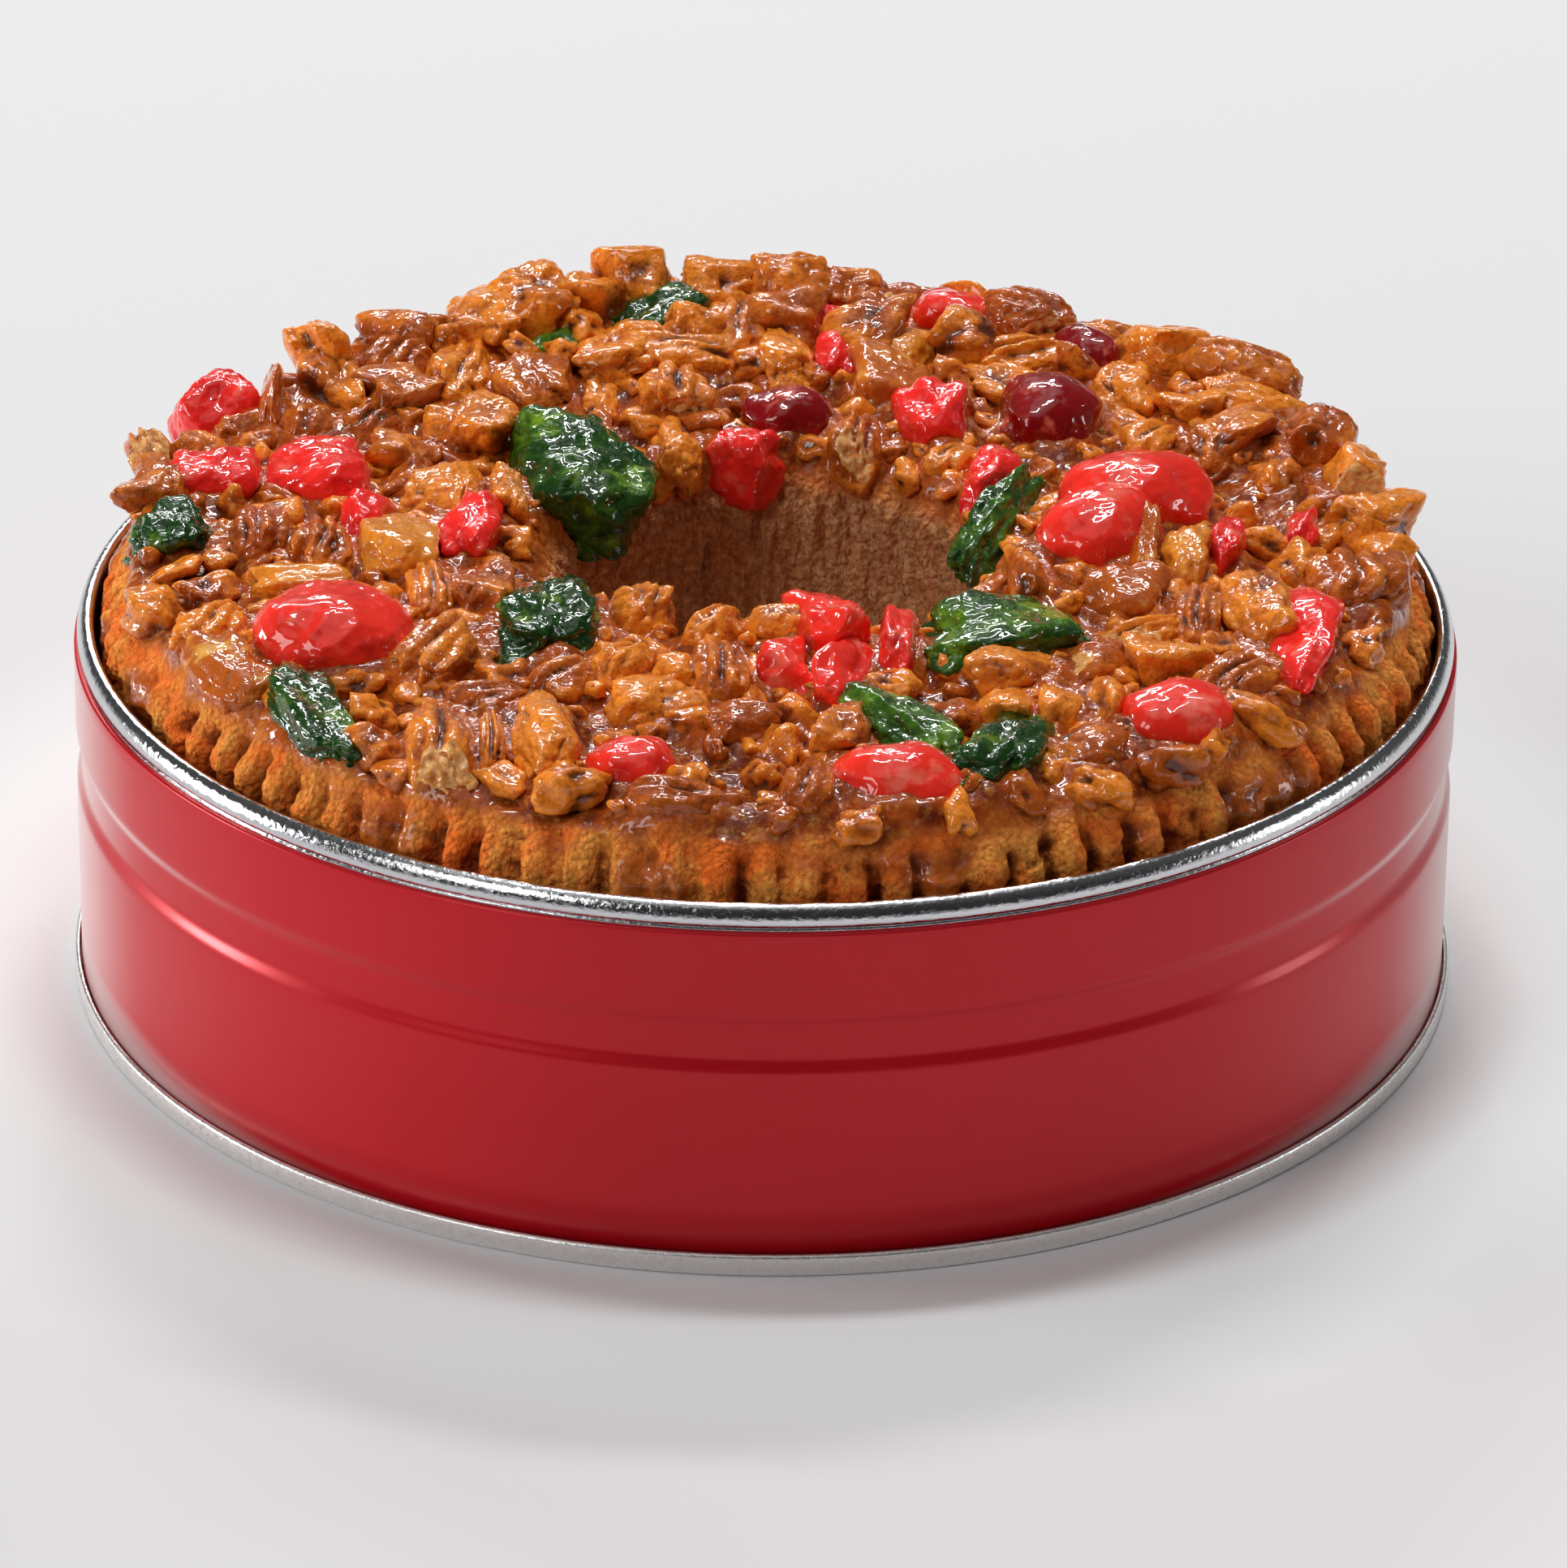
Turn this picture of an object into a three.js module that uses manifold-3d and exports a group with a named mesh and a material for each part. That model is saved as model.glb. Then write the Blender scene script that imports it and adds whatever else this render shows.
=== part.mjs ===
// A ring-shaped Christmas fruit cake, covered with glazed pecans, cherries and candied fruit,
// standing in its own round tin with a rolled rim and a seamed base.
// Millimetres, +Z up. The origin is the centre of the circle that the tin's bottom seam stands on.
import * as THREE from "three";
import { mergeVertices } from "three/addons/utils/BufferGeometryUtils.js";
import Module from "manifold-3d";

const wasm = await Module();
wasm.setup();

// Driving dimensions
const clearance = 0.3; // left between pieces that touch
const crumbGap = 0.8 * clearance; // loose toppings are hollowed to this where the crumb curves

const tin = {
  wallRadius: 100,
  height: 55.5,
  sheet: 0.4,
  facets: 40,
  rimRadius: 99, // outside of the rolled rim, which stands on a slightly necked wall
  rimWidth: 2.3,
  rimHeight: 3.4,
  neckDepth: 1.4,
  neckHeight: 0.6, // straight neck below the rim
  beadDepth: 0.8, // the shallow band pressed into the wall
  beadBottom: 30.3,
  beadTop: 39.8,
  beadFlank: 2.6,
};

const base = {
  panelHeight: 2.6, // underside of the panel above the table
  seamHeight: 3.2,
  seamProud: 1, // how far the seam stands out from the wall
  seamRound: 0.5,
  footWidth: 1.1, // the flat on which the tin stands
};

const cake = {
  bottom: base.panelHeight + tin.sheet + clearance,
  top: 62.5, // crumb between the toppings
  radius: 96,
  shoulderWidth: 10,
  shoulderDrop: 7,
  flutes: 96, // left by the pleated paper that the cake was baked in
  fluteDepth: 1.3,
  holeRadius: 30.5,
  holeCentreX: 1,
  holeEdgeWidth: 7,
  holeEdgeDrop: 6,
  holeSpread: 1.5, // how much wider the hole is at the bottom
  waviness: 0.3, // how far the crumb strays from a true circle
};

// Materials
const material = (color, roughness, metalness) =>
  new THREE.MeshStandardMaterial({ color, roughness, metalness });

const lacquer = material(0x9c1f2a, 0.35, 0.2);
const tinplate = material(0xc9cccf, 0.3, 0.9);
const crumb = material(0x8c4a1e, 0.7, 0);
const nut = material(0xa0602c, 0.35, 0);
const cherryRed = material(0xc81f22, 0.15, 0);
const peelGreen = material(0x35602c, 0.25, 0);
const pineapple = material(0xc8832c, 0.25, 0);

// Solids and meshes
function solidOf(geometry) {
  const bare = geometry.clone();
  bare.deleteAttribute("normal");
  bare.deleteAttribute("uv");
  const merged = mergeVertices(bare, 1e-4);
  return new wasm.Manifold(
    new wasm.Mesh({
      numProp: 3,
      vertProperties: new Float32Array(merged.attributes.position.array),
      triVerts: new Uint32Array(merged.index.array),
    }),
  );
}

function geometryOf(solid) {
  const mesh = solid.getMesh();
  const geometry = new THREE.BufferGeometry();
  geometry.setAttribute("position", new THREE.BufferAttribute(mesh.vertProperties, mesh.numProp));
  geometry.setIndex(new THREE.BufferAttribute(mesh.triVerts, 1));
  geometry.computeVertexNormals();
  return geometry;
}

// The main body of a solid, without the scraps that a cut can leave.
function largestBody(solid) {
  const bodies = solid.decompose();
  return bodies.reduce((best, body) => (body.volume() > best.volume() ? body : best));
}

// Steady random numbers from 0 to 1 (mulberry32).
function randomFrom(seed) {
  let state = seed;
  return () => {
    state = (state + 0x6d2b79f5) | 0;
    let t = Math.imul(state ^ (state >>> 15), 1 | state);
    t = (t + Math.imul(t ^ (t >>> 7), 61 | t)) ^ t;
    return ((t ^ (t >>> 14)) >>> 0) / 4294967296;
  };
}

const degrees = THREE.MathUtils.degToRad;

// The tin
function latheUp(outline, facets) {
  const geometry = new THREE.LatheGeometry(
    outline.map(([r, z]) => new THREE.Vector2(r, z)),
    facets,
  );
  return geometry.rotateX(Math.PI / 2);
}

// The wall in section, from its foot up the outside, over the rolled rim and down the inside.
function wallOutline() {
  const { wallRadius: wall, sheet, beadDepth, beadBottom, beadTop, beadFlank } = tin;
  const foot = base.seamRound + 2 * clearance;
  const neck = wall - tin.neckDepth;
  const neckTop = tin.height - tin.rimHeight - tin.neckHeight;
  const neckBottom = neckTop - tin.neckDepth;
  const beads = (offset) => [
    [wall - offset, beadBottom],
    [wall - offset - beadDepth, beadBottom + beadFlank],
    [wall - offset - beadDepth, beadTop - beadFlank],
    [wall - offset, beadTop],
  ];
  const rimMiddle = tin.rimRadius - tin.rimWidth / 2;
  const rimArc = [-60, -15, 30, 70, 110, 155].map((angle) => [
    rimMiddle + (tin.rimWidth / 2) * Math.cos(degrees(angle)),
    tin.height - tin.rimHeight / 2 + (tin.rimHeight / 2) * Math.sin(degrees(angle)),
  ]);
  return [
    [wall, foot],
    ...beads(0),
    [wall, neckBottom],
    [neck, neckTop],
    ...rimArc,
    [neck - sheet, neckTop],
    [wall - sheet, neckBottom - sheet / 2],
    ...beads(sheet).reverse(),
    [wall - sheet, foot],
    [wall, foot],
  ];
}

// The base in section: a flat panel, then down beside the wall's foot, out, and up into the seam.
function baseOutline() {
  const { panelHeight, seamHeight, seamProud, seamRound, footWidth } = base;
  const inside = tin.wallRadius - tin.sheet - clearance;
  const outside = tin.wallRadius + seamProud;
  const slot = tin.wallRadius + clearance;
  const footInside = outside - seamRound - footWidth;
  return [
    [0, panelHeight],
    [inside - tin.sheet, panelHeight],
    [footInside, 0],
    [outside - seamRound, 0],
    [outside, seamRound],
    [outside, seamHeight],
    [slot, seamHeight],
    [slot, seamRound + clearance],
    [inside, seamRound + clearance],
    [inside, panelHeight + tin.sheet],
    [0, panelHeight + tin.sheet],
  ];
}

// The crumb
// Unevenness of the crumb: waves that close on themselves round the cake.
function crumbWave(angle, z) {
  return (
    0.45 * Math.sin(9 * angle + 0.31 * z) +
    0.35 * Math.sin(23 * angle - 0.47 * z + 1) +
    0.2 * Math.sin(41 * angle + 0.9 * z + 2)
  );
}

function fluteWave(angle) {
  const sway = 0.25 * Math.sin(13 * angle) + 0.2 * Math.sin(29 * angle + 1);
  return 0.5 - 0.5 * Math.cos(cake.flutes * angle + sway);
}

// A level ring of points round the axis of the cake or of its hole.
function crumbRing(count, radius, z, { centreX = 0, flute = 0 } = {}) {
  return Array.from({ length: count }, (_, i) => {
    const angle = (2 * Math.PI * i) / count;
    const r = radius - flute * cake.fluteDepth * fluteWave(angle) + cake.waviness * crumbWave(angle, z);
    return [centreX + r * Math.cos(angle), r * Math.sin(angle), z];
  });
}

// The whole ring of crumb: up its fluted side, over the shoulder and down the hole.
// A swell makes it larger by that much on every side that a topping can touch.
function crumbRings(swell = 0) {
  const { top, bottom, shoulderWidth, shoulderDrop, holeEdgeWidth, holeEdgeDrop } = cake;
  const finest = 2 * cake.flutes;
  const rings = [];
  for (const z of [bottom, top - shoulderDrop])
    rings.push(crumbRing(finest, cake.radius + swell, z, { flute: 1 }));
  for (const [angle, count] of [[30, cake.flutes], [60, finest / 3], [90, finest / 4]]) {
    const r = cake.radius + swell - shoulderWidth * (1 - Math.cos(degrees(angle)));
    const z = top + swell - shoulderDrop * (1 - Math.sin(degrees(angle)));
    rings.push(crumbRing(count, r, z));
  }
  for (const angle of [90, 50, 20]) {
    const r = cake.holeRadius - swell + holeEdgeWidth * (1 - Math.cos(degrees(angle)));
    const z = top + swell - holeEdgeDrop * (1 - Math.sin(degrees(angle)));
    rings.push(crumbRing(finest / 4, r, z, { centreX: cake.holeCentreX }));
  }
  for (const z of [top - 2 * holeEdgeDrop, bottom]) {
    const spread = (cake.holeSpread * (top - holeEdgeDrop - z)) / (top - bottom);
    const r = cake.holeRadius - swell + spread;
    rings.push(crumbRing(finest / 4, r, z, { centreX: cake.holeCentreX }));
  }
  return rings;
}

// Joins rings into one closed surface; neighbours may differ in their number of points.
function loftRings(rings) {
  const positions = rings.flat(2);
  const starts = rings.map((_, r) => rings.slice(0, r).reduce((sum, ring) => sum + ring.length, 0));
  const index = [];
  rings.forEach((ring, r) => {
    const other = (r + 1) % rings.length;
    const next = rings[other];
    let i = 0;
    let j = 0;
    while (i < ring.length || j < next.length) {
      const a = starts[r] + (i % ring.length);
      const b = starts[other] + (j % next.length);
      if ((i + 1) / ring.length <= (j + 1) / next.length) {
        i += 1;
        index.push(a, starts[r] + (i % ring.length), b);
      } else {
        j += 1;
        index.push(a, starts[other] + (j % next.length), b);
      }
    }
  });
  const geometry = new THREE.BufferGeometry();
  geometry.setAttribute("position", new THREE.Float32BufferAttribute(positions, 3));
  geometry.setIndex(index);
  return geometry;
}

// Where a topping at (x, y) sits: the crumb's height there, and the way its surface faces.
function seatAt(x, y) {
  const fromAxis = Math.hypot(x, y);
  const fromHole = Math.hypot(x - cake.holeCentreX, y);
  const over = (fromAxis - (cake.radius - cake.shoulderWidth)) / cake.shoulderWidth;
  const under = (cake.holeRadius + cake.holeEdgeWidth - fromHole) / cake.holeEdgeWidth;
  const point = new THREE.Vector3(x, y, cake.top);
  const normal = new THREE.Vector3(0, 0, 1);
  const steepest = 0.95; // share of a rounded edge past which nothing sits
  const lean = (share, drop, width, outward) => {
    const s = Math.min(share, steepest);
    const rise = Math.sqrt(1 - s * s);
    point.z -= drop * (1 - rise);
    const away = new THREE.Vector3(x, y, 0).normalize().multiplyScalar(outward);
    normal.set(0, 0, rise / drop).addScaledVector(away, s / width).normalize();
  };
  if (over > 0) lean(over, cake.shoulderDrop, cake.shoulderWidth, 1);
  if (under > 0) lean(under, cake.holeEdgeDrop, cake.holeEdgeWidth, -1);
  return { point, normal };
}

// The toppings
// A topping is lofted from arches across its length. Columns are the arch's angles from its top.
const meshes = {
  chip: { stations: [-0.45, 0.45], columns: [-112, -35, 35, 112] },
  small: { stations: [-0.62, 0, 0.62], columns: [-112, -52, 0, 52, 112] },
  pecan: { stations: [-0.76, -0.28, 0.28, 0.76], columns: [-112, -70, -28, 0, 28, 70, 112] },
  lump: { stations: [-0.78, -0.3, 0.3, 0.78], columns: [-112, -75, -35, 0, 35, 75, 112] },
  large: { stations: [-0.85, -0.45, 0, 0.45, 0.85], columns: [-112, -75, -35, 0, 35, 75, 112] },
};

// Turns a topping into its place, up along the crumb's surface, and sets its feet on the crumb.
function placeOnCrumb(geometry, feet, spec, grow) {
  const { x, y, heading, lift, pitch, roll } = spec;
  const { point, normal } = seatAt(x, y);
  const along = new THREE.Vector3(Math.cos(degrees(heading)), Math.sin(degrees(heading)), 0);
  const across = new THREE.Vector3().crossVectors(normal, along).normalize();
  along.crossVectors(across, normal);
  const turn = new THREE.Matrix4().makeBasis(along, across, normal);
  const tip = new THREE.Matrix4().makeRotationFromEuler(
    new THREE.Euler(degrees(roll), degrees(-pitch), 0, "ZYX"),
  );
  point.addScaledVector(normal, lift);
  geometry.applyMatrix4(tip).applyMatrix4(turn).translate(point.x, point.y, point.z);
  const position = geometry.attributes.position;
  for (const i of feet) {
    const ground = seatAt(position.getX(i), position.getY(i)).point.z;
    position.setZ(i, ground + spec.footHeight - 1.5 * grow); // a grown one cuts right to the crumb
  }
  return geometry;
}

// One topping, with its feet on the crumb. Squareness 2 is egg-shaped; more is nearer a cube.
function toppingSolid(spec, grow = 0) {
  const { stations, columns } = meshes[spec.mesh];
  const [l, w, h] = [spec.length, spec.width, spec.height].map((size) => size / 2 + grow);
  const around = columns.length;
  const power = spec.squareness;
  const random = randomFrom(spec.seed);
  const positions = [-l, 0, 0];
  const feet = [];
  for (const t of stations) {
    const girth = (1 - Math.abs(t) ** power) ** (1 / power) * (1 - spec.taper * t);
    columns.forEach((column, i) => {
      const [sine, cosine] = [Math.sin(degrees(column)), Math.cos(degrees(column))];
      const corner = (Math.abs(sine) ** power + Math.abs(cosine) ** power) ** (-1 / power);
      const groove = column === 0 ? 1 - spec.groove : 1;
      const reach = girth * corner * groove * (1 + spec.unevenness * (random() - 0.5));
      if (i === 0 || i === around - 1) feet.push(positions.length / 3);
      positions.push(t * l, w * reach * sine, h * reach * cosine);
    });
  }
  positions.push(l, 0, 0);
  const last = positions.length / 3 - 1;
  const tip = 1 + (stations.length - 1) * around;
  const index = [];
  for (let i = 0; i < around; i += 1) {
    const n = (i + 1) % around;
    index.push(0, 1 + i, 1 + n, tip + i, last, tip + n);
    for (let s = 0; s < stations.length - 1; s += 1) {
      const a = 1 + s * around;
      const b = a + around;
      index.push(a + i, b + n, a + n, a + i, b + i, b + n);
    }
  }
  const geometry = new THREE.BufferGeometry();
  geometry.setAttribute("position", new THREE.Float32BufferAttribute(positions, 3));
  geometry.setIndex(index);
  return solidOf(placeOnCrumb(geometry, feet, spec, grow));
}

// Each row places one topping: x, y, length, width, height, heading in degrees, and then, where
// it needs them, the height of its middle above the crumb, its pitch and its roll in degrees.
const rows = {
  cherry: [
    [-59.5, -35, 23.5, 21, 15, 0, 2.5],
    [54, 12, 22, 18, 16, 50, 4],
    [45.5, -1, 17, 10, 13, 75, 2.5],
    [42, 44, 20, 16, 15, 90, 3],
    [48, 70, 14, 10, 10, 100, 2.5],
    [56.5, -59, 16, 15, 12, 20, 2],
    [-18, -76, 12, 11, 9, 0, 2],
    [18.5, -80, 18, 15, 12, 0, 2],
    [29, 83, 15, 13, 10, 0, 3],
    [3, 43, 14, 13, 11, 20, 3],
    [9.5, -35, 15, 9, 11, 115, 3.5],
    [11, -48, 19, 7, 10, 75, 2.5],
    [3, -45, 11, 8, 9, 80, 2],
    [18.5, -38, 14, 6.5, 10, 88, 3],
  ],
  red_candied: [
    [-81, 46, 13, 12, 13, 10, 3],
    [-80.5, 20, 14, 10, 9, 80, 2],
    [-66, 18, 16, 15, 11, 90, 2.5],
    [-58, 3, 12, 7, 9, 80, 2.5],
    [-43, -1, 14, 8, 9, 85, 2.5],
    [24, 41, 15, 11, 13, 95, 2.5],
    [33, 22, 14, 8, 11, 80, 2.5],
    [-5, 34, 10, 10, 12, 0, 0.5],
    [66.5, -1, 14, 5.5, 9, 92, 2.5],
    [75.5, -34, 25, 8, 8, 88, 1.5],
    [77.5, 4, 9, 5, 7, 90, 2.5],
    [10, 65, 14, 7, 8, 90, 3],
    [9, 78, 9, 8, 8, 30, 2],
  ],
  green_candied: [
    [-18, 79, 17, 13, 10, 45, 2.5],
    [-31.5, 67, 13, 6, 8, 45, 2],
    [-27.5, 21, 24, 19.5, 18, 80, 1],
    [-31, -31, 28, 16, 12, 97, 2],
    [-85.5, 1, 13, 13, 9, 0, 2],
    [-62, -62, 22, 9, 7, -70, 1.5],
    [19.5, -65, 30, 10, 9, -62, 2.5],
    [34.5, -70, 26, 9, 9, 70, 2],
    [33, -32, 25, 19, 9, 40, 2.5],
    [34.5, 9, 26, 7, 10, 65, 2.5],
  ],
  amber_candied: [
    [18, 55, 16, 12.5, 11, 95, 2.5],
    [21.5, 69, 11, 9, 9, 60, 2.5],
    [18, 83, 14, 6.5, 8, 90, 2.5],
    [-53, -5, 19, 12, 9, 85, 2.5],
    [-74, 45, 16, 4, 12, 90, 3],
    [-67, -16, 14, 9, 6, 0, 2],
    [-74, -48, 18, 9, 8, -70, 1.5],
    [54, -5, 15, 5.5, 9, 90, 3, 15],
    [60.5, -9, 15, 6, 9, 85, 3],
    [50.5, -20, 13, 12, 10, 0, 2],
    [28.5, 52, 12, 4.5, 8, 85, 2.5],
  ],
  pecan: [
    [69.5, 60, 20, 12, 11, 170, 5],
    [84, -14, 19, 15, 10, 90, 2.5],
    [69, -24, 23, 9, 9, 93, 3],
    [-44, -71, 25, 10, 9, 94, 2.5],
    [-30, -68, 24, 9, 9, 95, 3],
    [-44, 36, 20, 13, 11, 100, 3],
    [34.5, -46, 15, 11, 9, 15, 2.5],
    [-45, -43, 21, 11, 10, 65, 3],
    [-14, 50, 18, 12, 13, 90, 2.5],
  ],
};

// Pecans packed between the others, one body with the crumb; the same columns.
const packedPecans = [
  [72, 54, 17, 12, 9, 5, 2],
  [63, 50, 11, 9, 8, 30, 2],
  [69, 38, 20, 9, 9, 55, 2.5],
  [81, 36, 16, 11, 11, 80, 3.5],
  [75, 24, 11, 8, 8, 90, 2],
  [85, 24, 14, 9, 9, 100, 3.5],
  [88, 10, 15, 12, 10, 75, 3],
  [61, -26, 18, 7, 9, 85, 2.5],
  [53, -33, 17, 8, 8, 35, 2],
  [37, -13, 18, 8, 12, 95, 2],
  [46, -42, 14, 9, 8, 40, 2],
  [57, -41, 12, 9, 8, 20, 2],
  [66, -46, 16, 11, 9, 55, 1.5],
  [47, -56, 14, 6, 9, 90, 2],
  [41, -58, 12, 6, 9, 90, 2],
  [33, -58, 13, 8, 9, 80, 2],
  [45, -70, 12, 9, 8, 30, 1.5],
  [3, -34, 13, 8, 11, 10, 3],
  [-7, -35, 13, 8, 10, 60, 3],
  [3, -69, 10, 7, 8, 60, 2],
  [11, -68, 14, 7, 9, 80, 2.5],
  [6, -83, 13, 8, 8, 80, 2],
  [-6, -47, 20, 9, 9, 95, 3],
  [-2, -64, 15, 10, 9, 5, 2.5],
  [-19, -26.5, 17, 10, 11, 95, 3],
  [-40, -21, 18, 8, 9, 92, 2.5],
  [-47.5, -22, 20, 8, 9, 95, 2.5],
  [-20, -46, 14, 8, 9, 70, 2.5],
  [-15, -58, 14, 9, 8, 30, 2],
  [-28, -50, 12, 9, 8, 50, 2],
  [-37, -70, 17, 4, 8, 92, 2.5],
  [-38, -57, 12, 8, 8, 20, 2],
  [-12, -86, 14, 9, 8, 5, 1.5],
  [-73, -2, 15, 9, 9, 95, 2.5],
  [-64, -5, 15, 9, 9, 90, 2.5],
  [-77, -34, 17, 10, 8, 70, 2],
  [-88, 16, 15, 11, 9, 85, 2],
  [-88.5, 28, 13, 7, 11, 100, 4],
  [-66, 52, 20, 9, 10, 95, 3],
  [-66.5, 61.5, 14, 9, 12, 90, 5],
  [-56, 61, 14, 9, 10, 70, 3],
  [-57, 67, 13, 10, 11, 140, 3.5],
  [-56, 49, 13, 11, 10, 130, 2.5],
  [-46, 58, 20, 9, 10, 85, 2.5],
  [-68, 38, 12, 9, 9, 80, 2],
  [-59, 39, 12, 9, 9, 60, 2],
  [-54, 28, 11, 8, 8, 70, 2.5],
  [-52, 21, 12, 7, 8, 85, 2],
  [-46, 14, 16, 12, 9, 80, 2.5],
  [-37.5, 10, 15, 6, 9, 95, 3],
  [-25, 65, 17, 10, 10, 85, 2.5],
  [-13, 65, 15, 10, 10, 10, 3],
  [-35.5, 53, 20, 12, 11, 95, 3],
  [-14, 33, 15, 8, 10, 85, 2],
  [-36, 80, 19, 13, 14, 85, 5],
  [-27, 83, 12, 8, 12, 70, 4.5],
  [-45.5, 76, 15, 9, 11, 95, 4],
  [-53.5, 72.5, 11, 6, 10, 100, 3],
  [-20, 89, 13, 12, 14, 60, 5],
  [-8, 87, 14, 11, 13, 10, 4],
  [3, 88.5, 13, 12, 14, 30, 4.5],
  [-5, 76, 18, 9, 10, 85, 3],
  [13.5, 90, 13, 9, 11, 90, 3.5],
  [22, 91, 11, 7, 10, 20, 3.5],
  [38, 68, 15, 9, 9, 30, 2.5],
  [39, 80, 14, 11, 12, 140, 3.5],
  [31, 88, 11, 8, 11, 160, 3],
  [53, 57, 16, 10, 9, 85, 2],
  [57.5, 67.5, 14, 11, 11, 130, 3.5],
  [50, 77, 11, 7, 9, 150, 2.5],
  [57, 38, 14, 9, 8, 60, 2],
  [13, 35, 17, 8, 11, 85, 2],
  [3, 62, 16, 8, 10, 85, 3],
  [27, 30, 12, 8, 8, 60, 1.5],
];

const onCrumb = clearance; // feet of the loose toppings
const inCrumb = -1; // feet of what is one with the crumb

const shapes = {
  cherry: { squareness: 2.2, unevenness: 0.08, mesh: "lump", materialOf: cherryRed },
  red_candied: { squareness: 3, unevenness: 0.12, mesh: "lump", materialOf: cherryRed },
  green_candied: { squareness: 2.6, unevenness: 0.14, mesh: "lump", materialOf: peelGreen },
  amber_candied: { squareness: 2.8, unevenness: 0.12, mesh: "lump", materialOf: pineapple },
  pecan: { groove: 0.12, taper: 0.12, unevenness: 0.06, mesh: "pecan", materialOf: nut },
  packed: { groove: 0.12, taper: 0.12, unevenness: 0.1, mesh: "small", footHeight: inCrumb },
  chip: { unevenness: 0.4, mesh: "chip", footHeight: inCrumb },
};

const smallWidth = 8; // up to this width a topping has few faces
const wholeWidth = 15; // from this width on it has more

function specOf(kind, row, number) {
  const [x, y, length, width, height, heading, lift = 2, pitch = 0, roll = 0] = row;
  const name = `${kind}_${String(number + 1).padStart(2, "0")}`;
  const seed = 100 * number + kind.length;
  const usual = { squareness: 2.2, groove: 0, taper: 0, footHeight: onCrumb };
  const spec = { ...usual, ...shapes[kind], name, seed, x, y, length, width, height };
  if (spec.mesh === "lump" && width <= smallWidth) spec.mesh = "small";
  if (spec.mesh === "lump" && width >= wholeWidth) spec.mesh = "large";
  return { ...spec, heading, lift, pitch, roll };
}

const reachOf = (spec) => Math.max(spec.length, spec.width, spec.height) / 2;

const nearTo = (spec, others) =>
  others.filter(
    (other) => Math.hypot(spec.x - other.x, spec.y - other.y) < reachOf(spec) + reachOf(other),
  );

// The topping as it lies against the pieces that were there first, and on the crumb if loose.
function fitted(spec, earlier, ground) {
  let solid = toppingSolid(spec);
  if (ground) solid = solid.subtract(ground);
  for (const other of nearTo(spec, earlier))
    solid = solid.subtract(toppingSolid(other, clearance));
  return largestBody(solid);
}

// Broken nut that fills the widest gaps, scattered evenly where no topping lies.
const chipRule = { seed: 2512, most: 7, tries: 1500, smallest: 6, largest: 9, lift: 0.8 };

function scatterChips(taken) {
  const { seed, most, tries, smallest, largest, lift } = chipRule;
  const random = randomFrom(seed);
  const innermost = cake.holeRadius + 4;
  const outermost = cake.radius - 5;
  const chips = [];
  for (let n = 0; n < tries && chips.length < most; n += 1) {
    const angle = 2 * Math.PI * random();
    const r = innermost + (outermost - innermost) * Math.sqrt(random());
    const size = smallest + (largest - smallest) * random();
    const heading = 360 * random();
    const [x, y] = [r * Math.cos(angle), r * Math.sin(angle)];
    const clear = [...taken, ...chips].every((other) => {
      const room = 0.27 * (other.length + other.width) + size / 2;
      return Math.hypot(x - other.x, y - other.y) > room;
    });
    if (clear) {
      const row = [x, y, size, 0.75 * size, 0.9 * size, heading, lift];
      chips.push(specOf("chip", row, chips.length));
    }
  }
  return chips;
}

// The object
const model = new THREE.Group();

function addMesh(name, geometry, finish) {
  const mesh = new THREE.Mesh(geometry, finish);
  mesh.name = name;
  model.add(mesh);
}

addMesh("tin_wall", latheUp(wallOutline(), tin.facets), lacquer);
addMesh("tin_base", latheUp(baseOutline(), tin.facets), tinplate);

const crumbBody = solidOf(loftRings(crumbRings()));
const swollenCrumb = solidOf(loftRings(crumbRings(crumbGap)));

const loose = Object.entries(rows).flatMap(([kind, list]) =>
  list.map((row, number) => specOf(kind, row, number)),
);
loose.forEach((spec, i) => {
  const solid = fitted(spec, loose.slice(0, i), swollenCrumb);
  addMesh(spec.name, geometryOf(solid), spec.materialOf);
});

const packed = packedPecans.map((row, number) => specOf("packed", row, number));
const chips = scatterChips([...loose, ...packed]);
const fused = [...packed, ...chips].map((spec) => fitted(spec, loose));
const whole = fused.reduce((sum, solid) => sum.add(solid), crumbBody);
addMesh("cake_ring", geometryOf(largestBody(whole)), crumb);

export default model;
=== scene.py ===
# A ring-shaped Christmas fruit cake with glazed nuts and candied fruit, standing in its red tin.
# Shapes are worked out in millimetres and handed to Blender in metres.
import math

import bmesh
import bpy
import numpy as np
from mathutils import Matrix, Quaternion, Vector, noise


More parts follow.
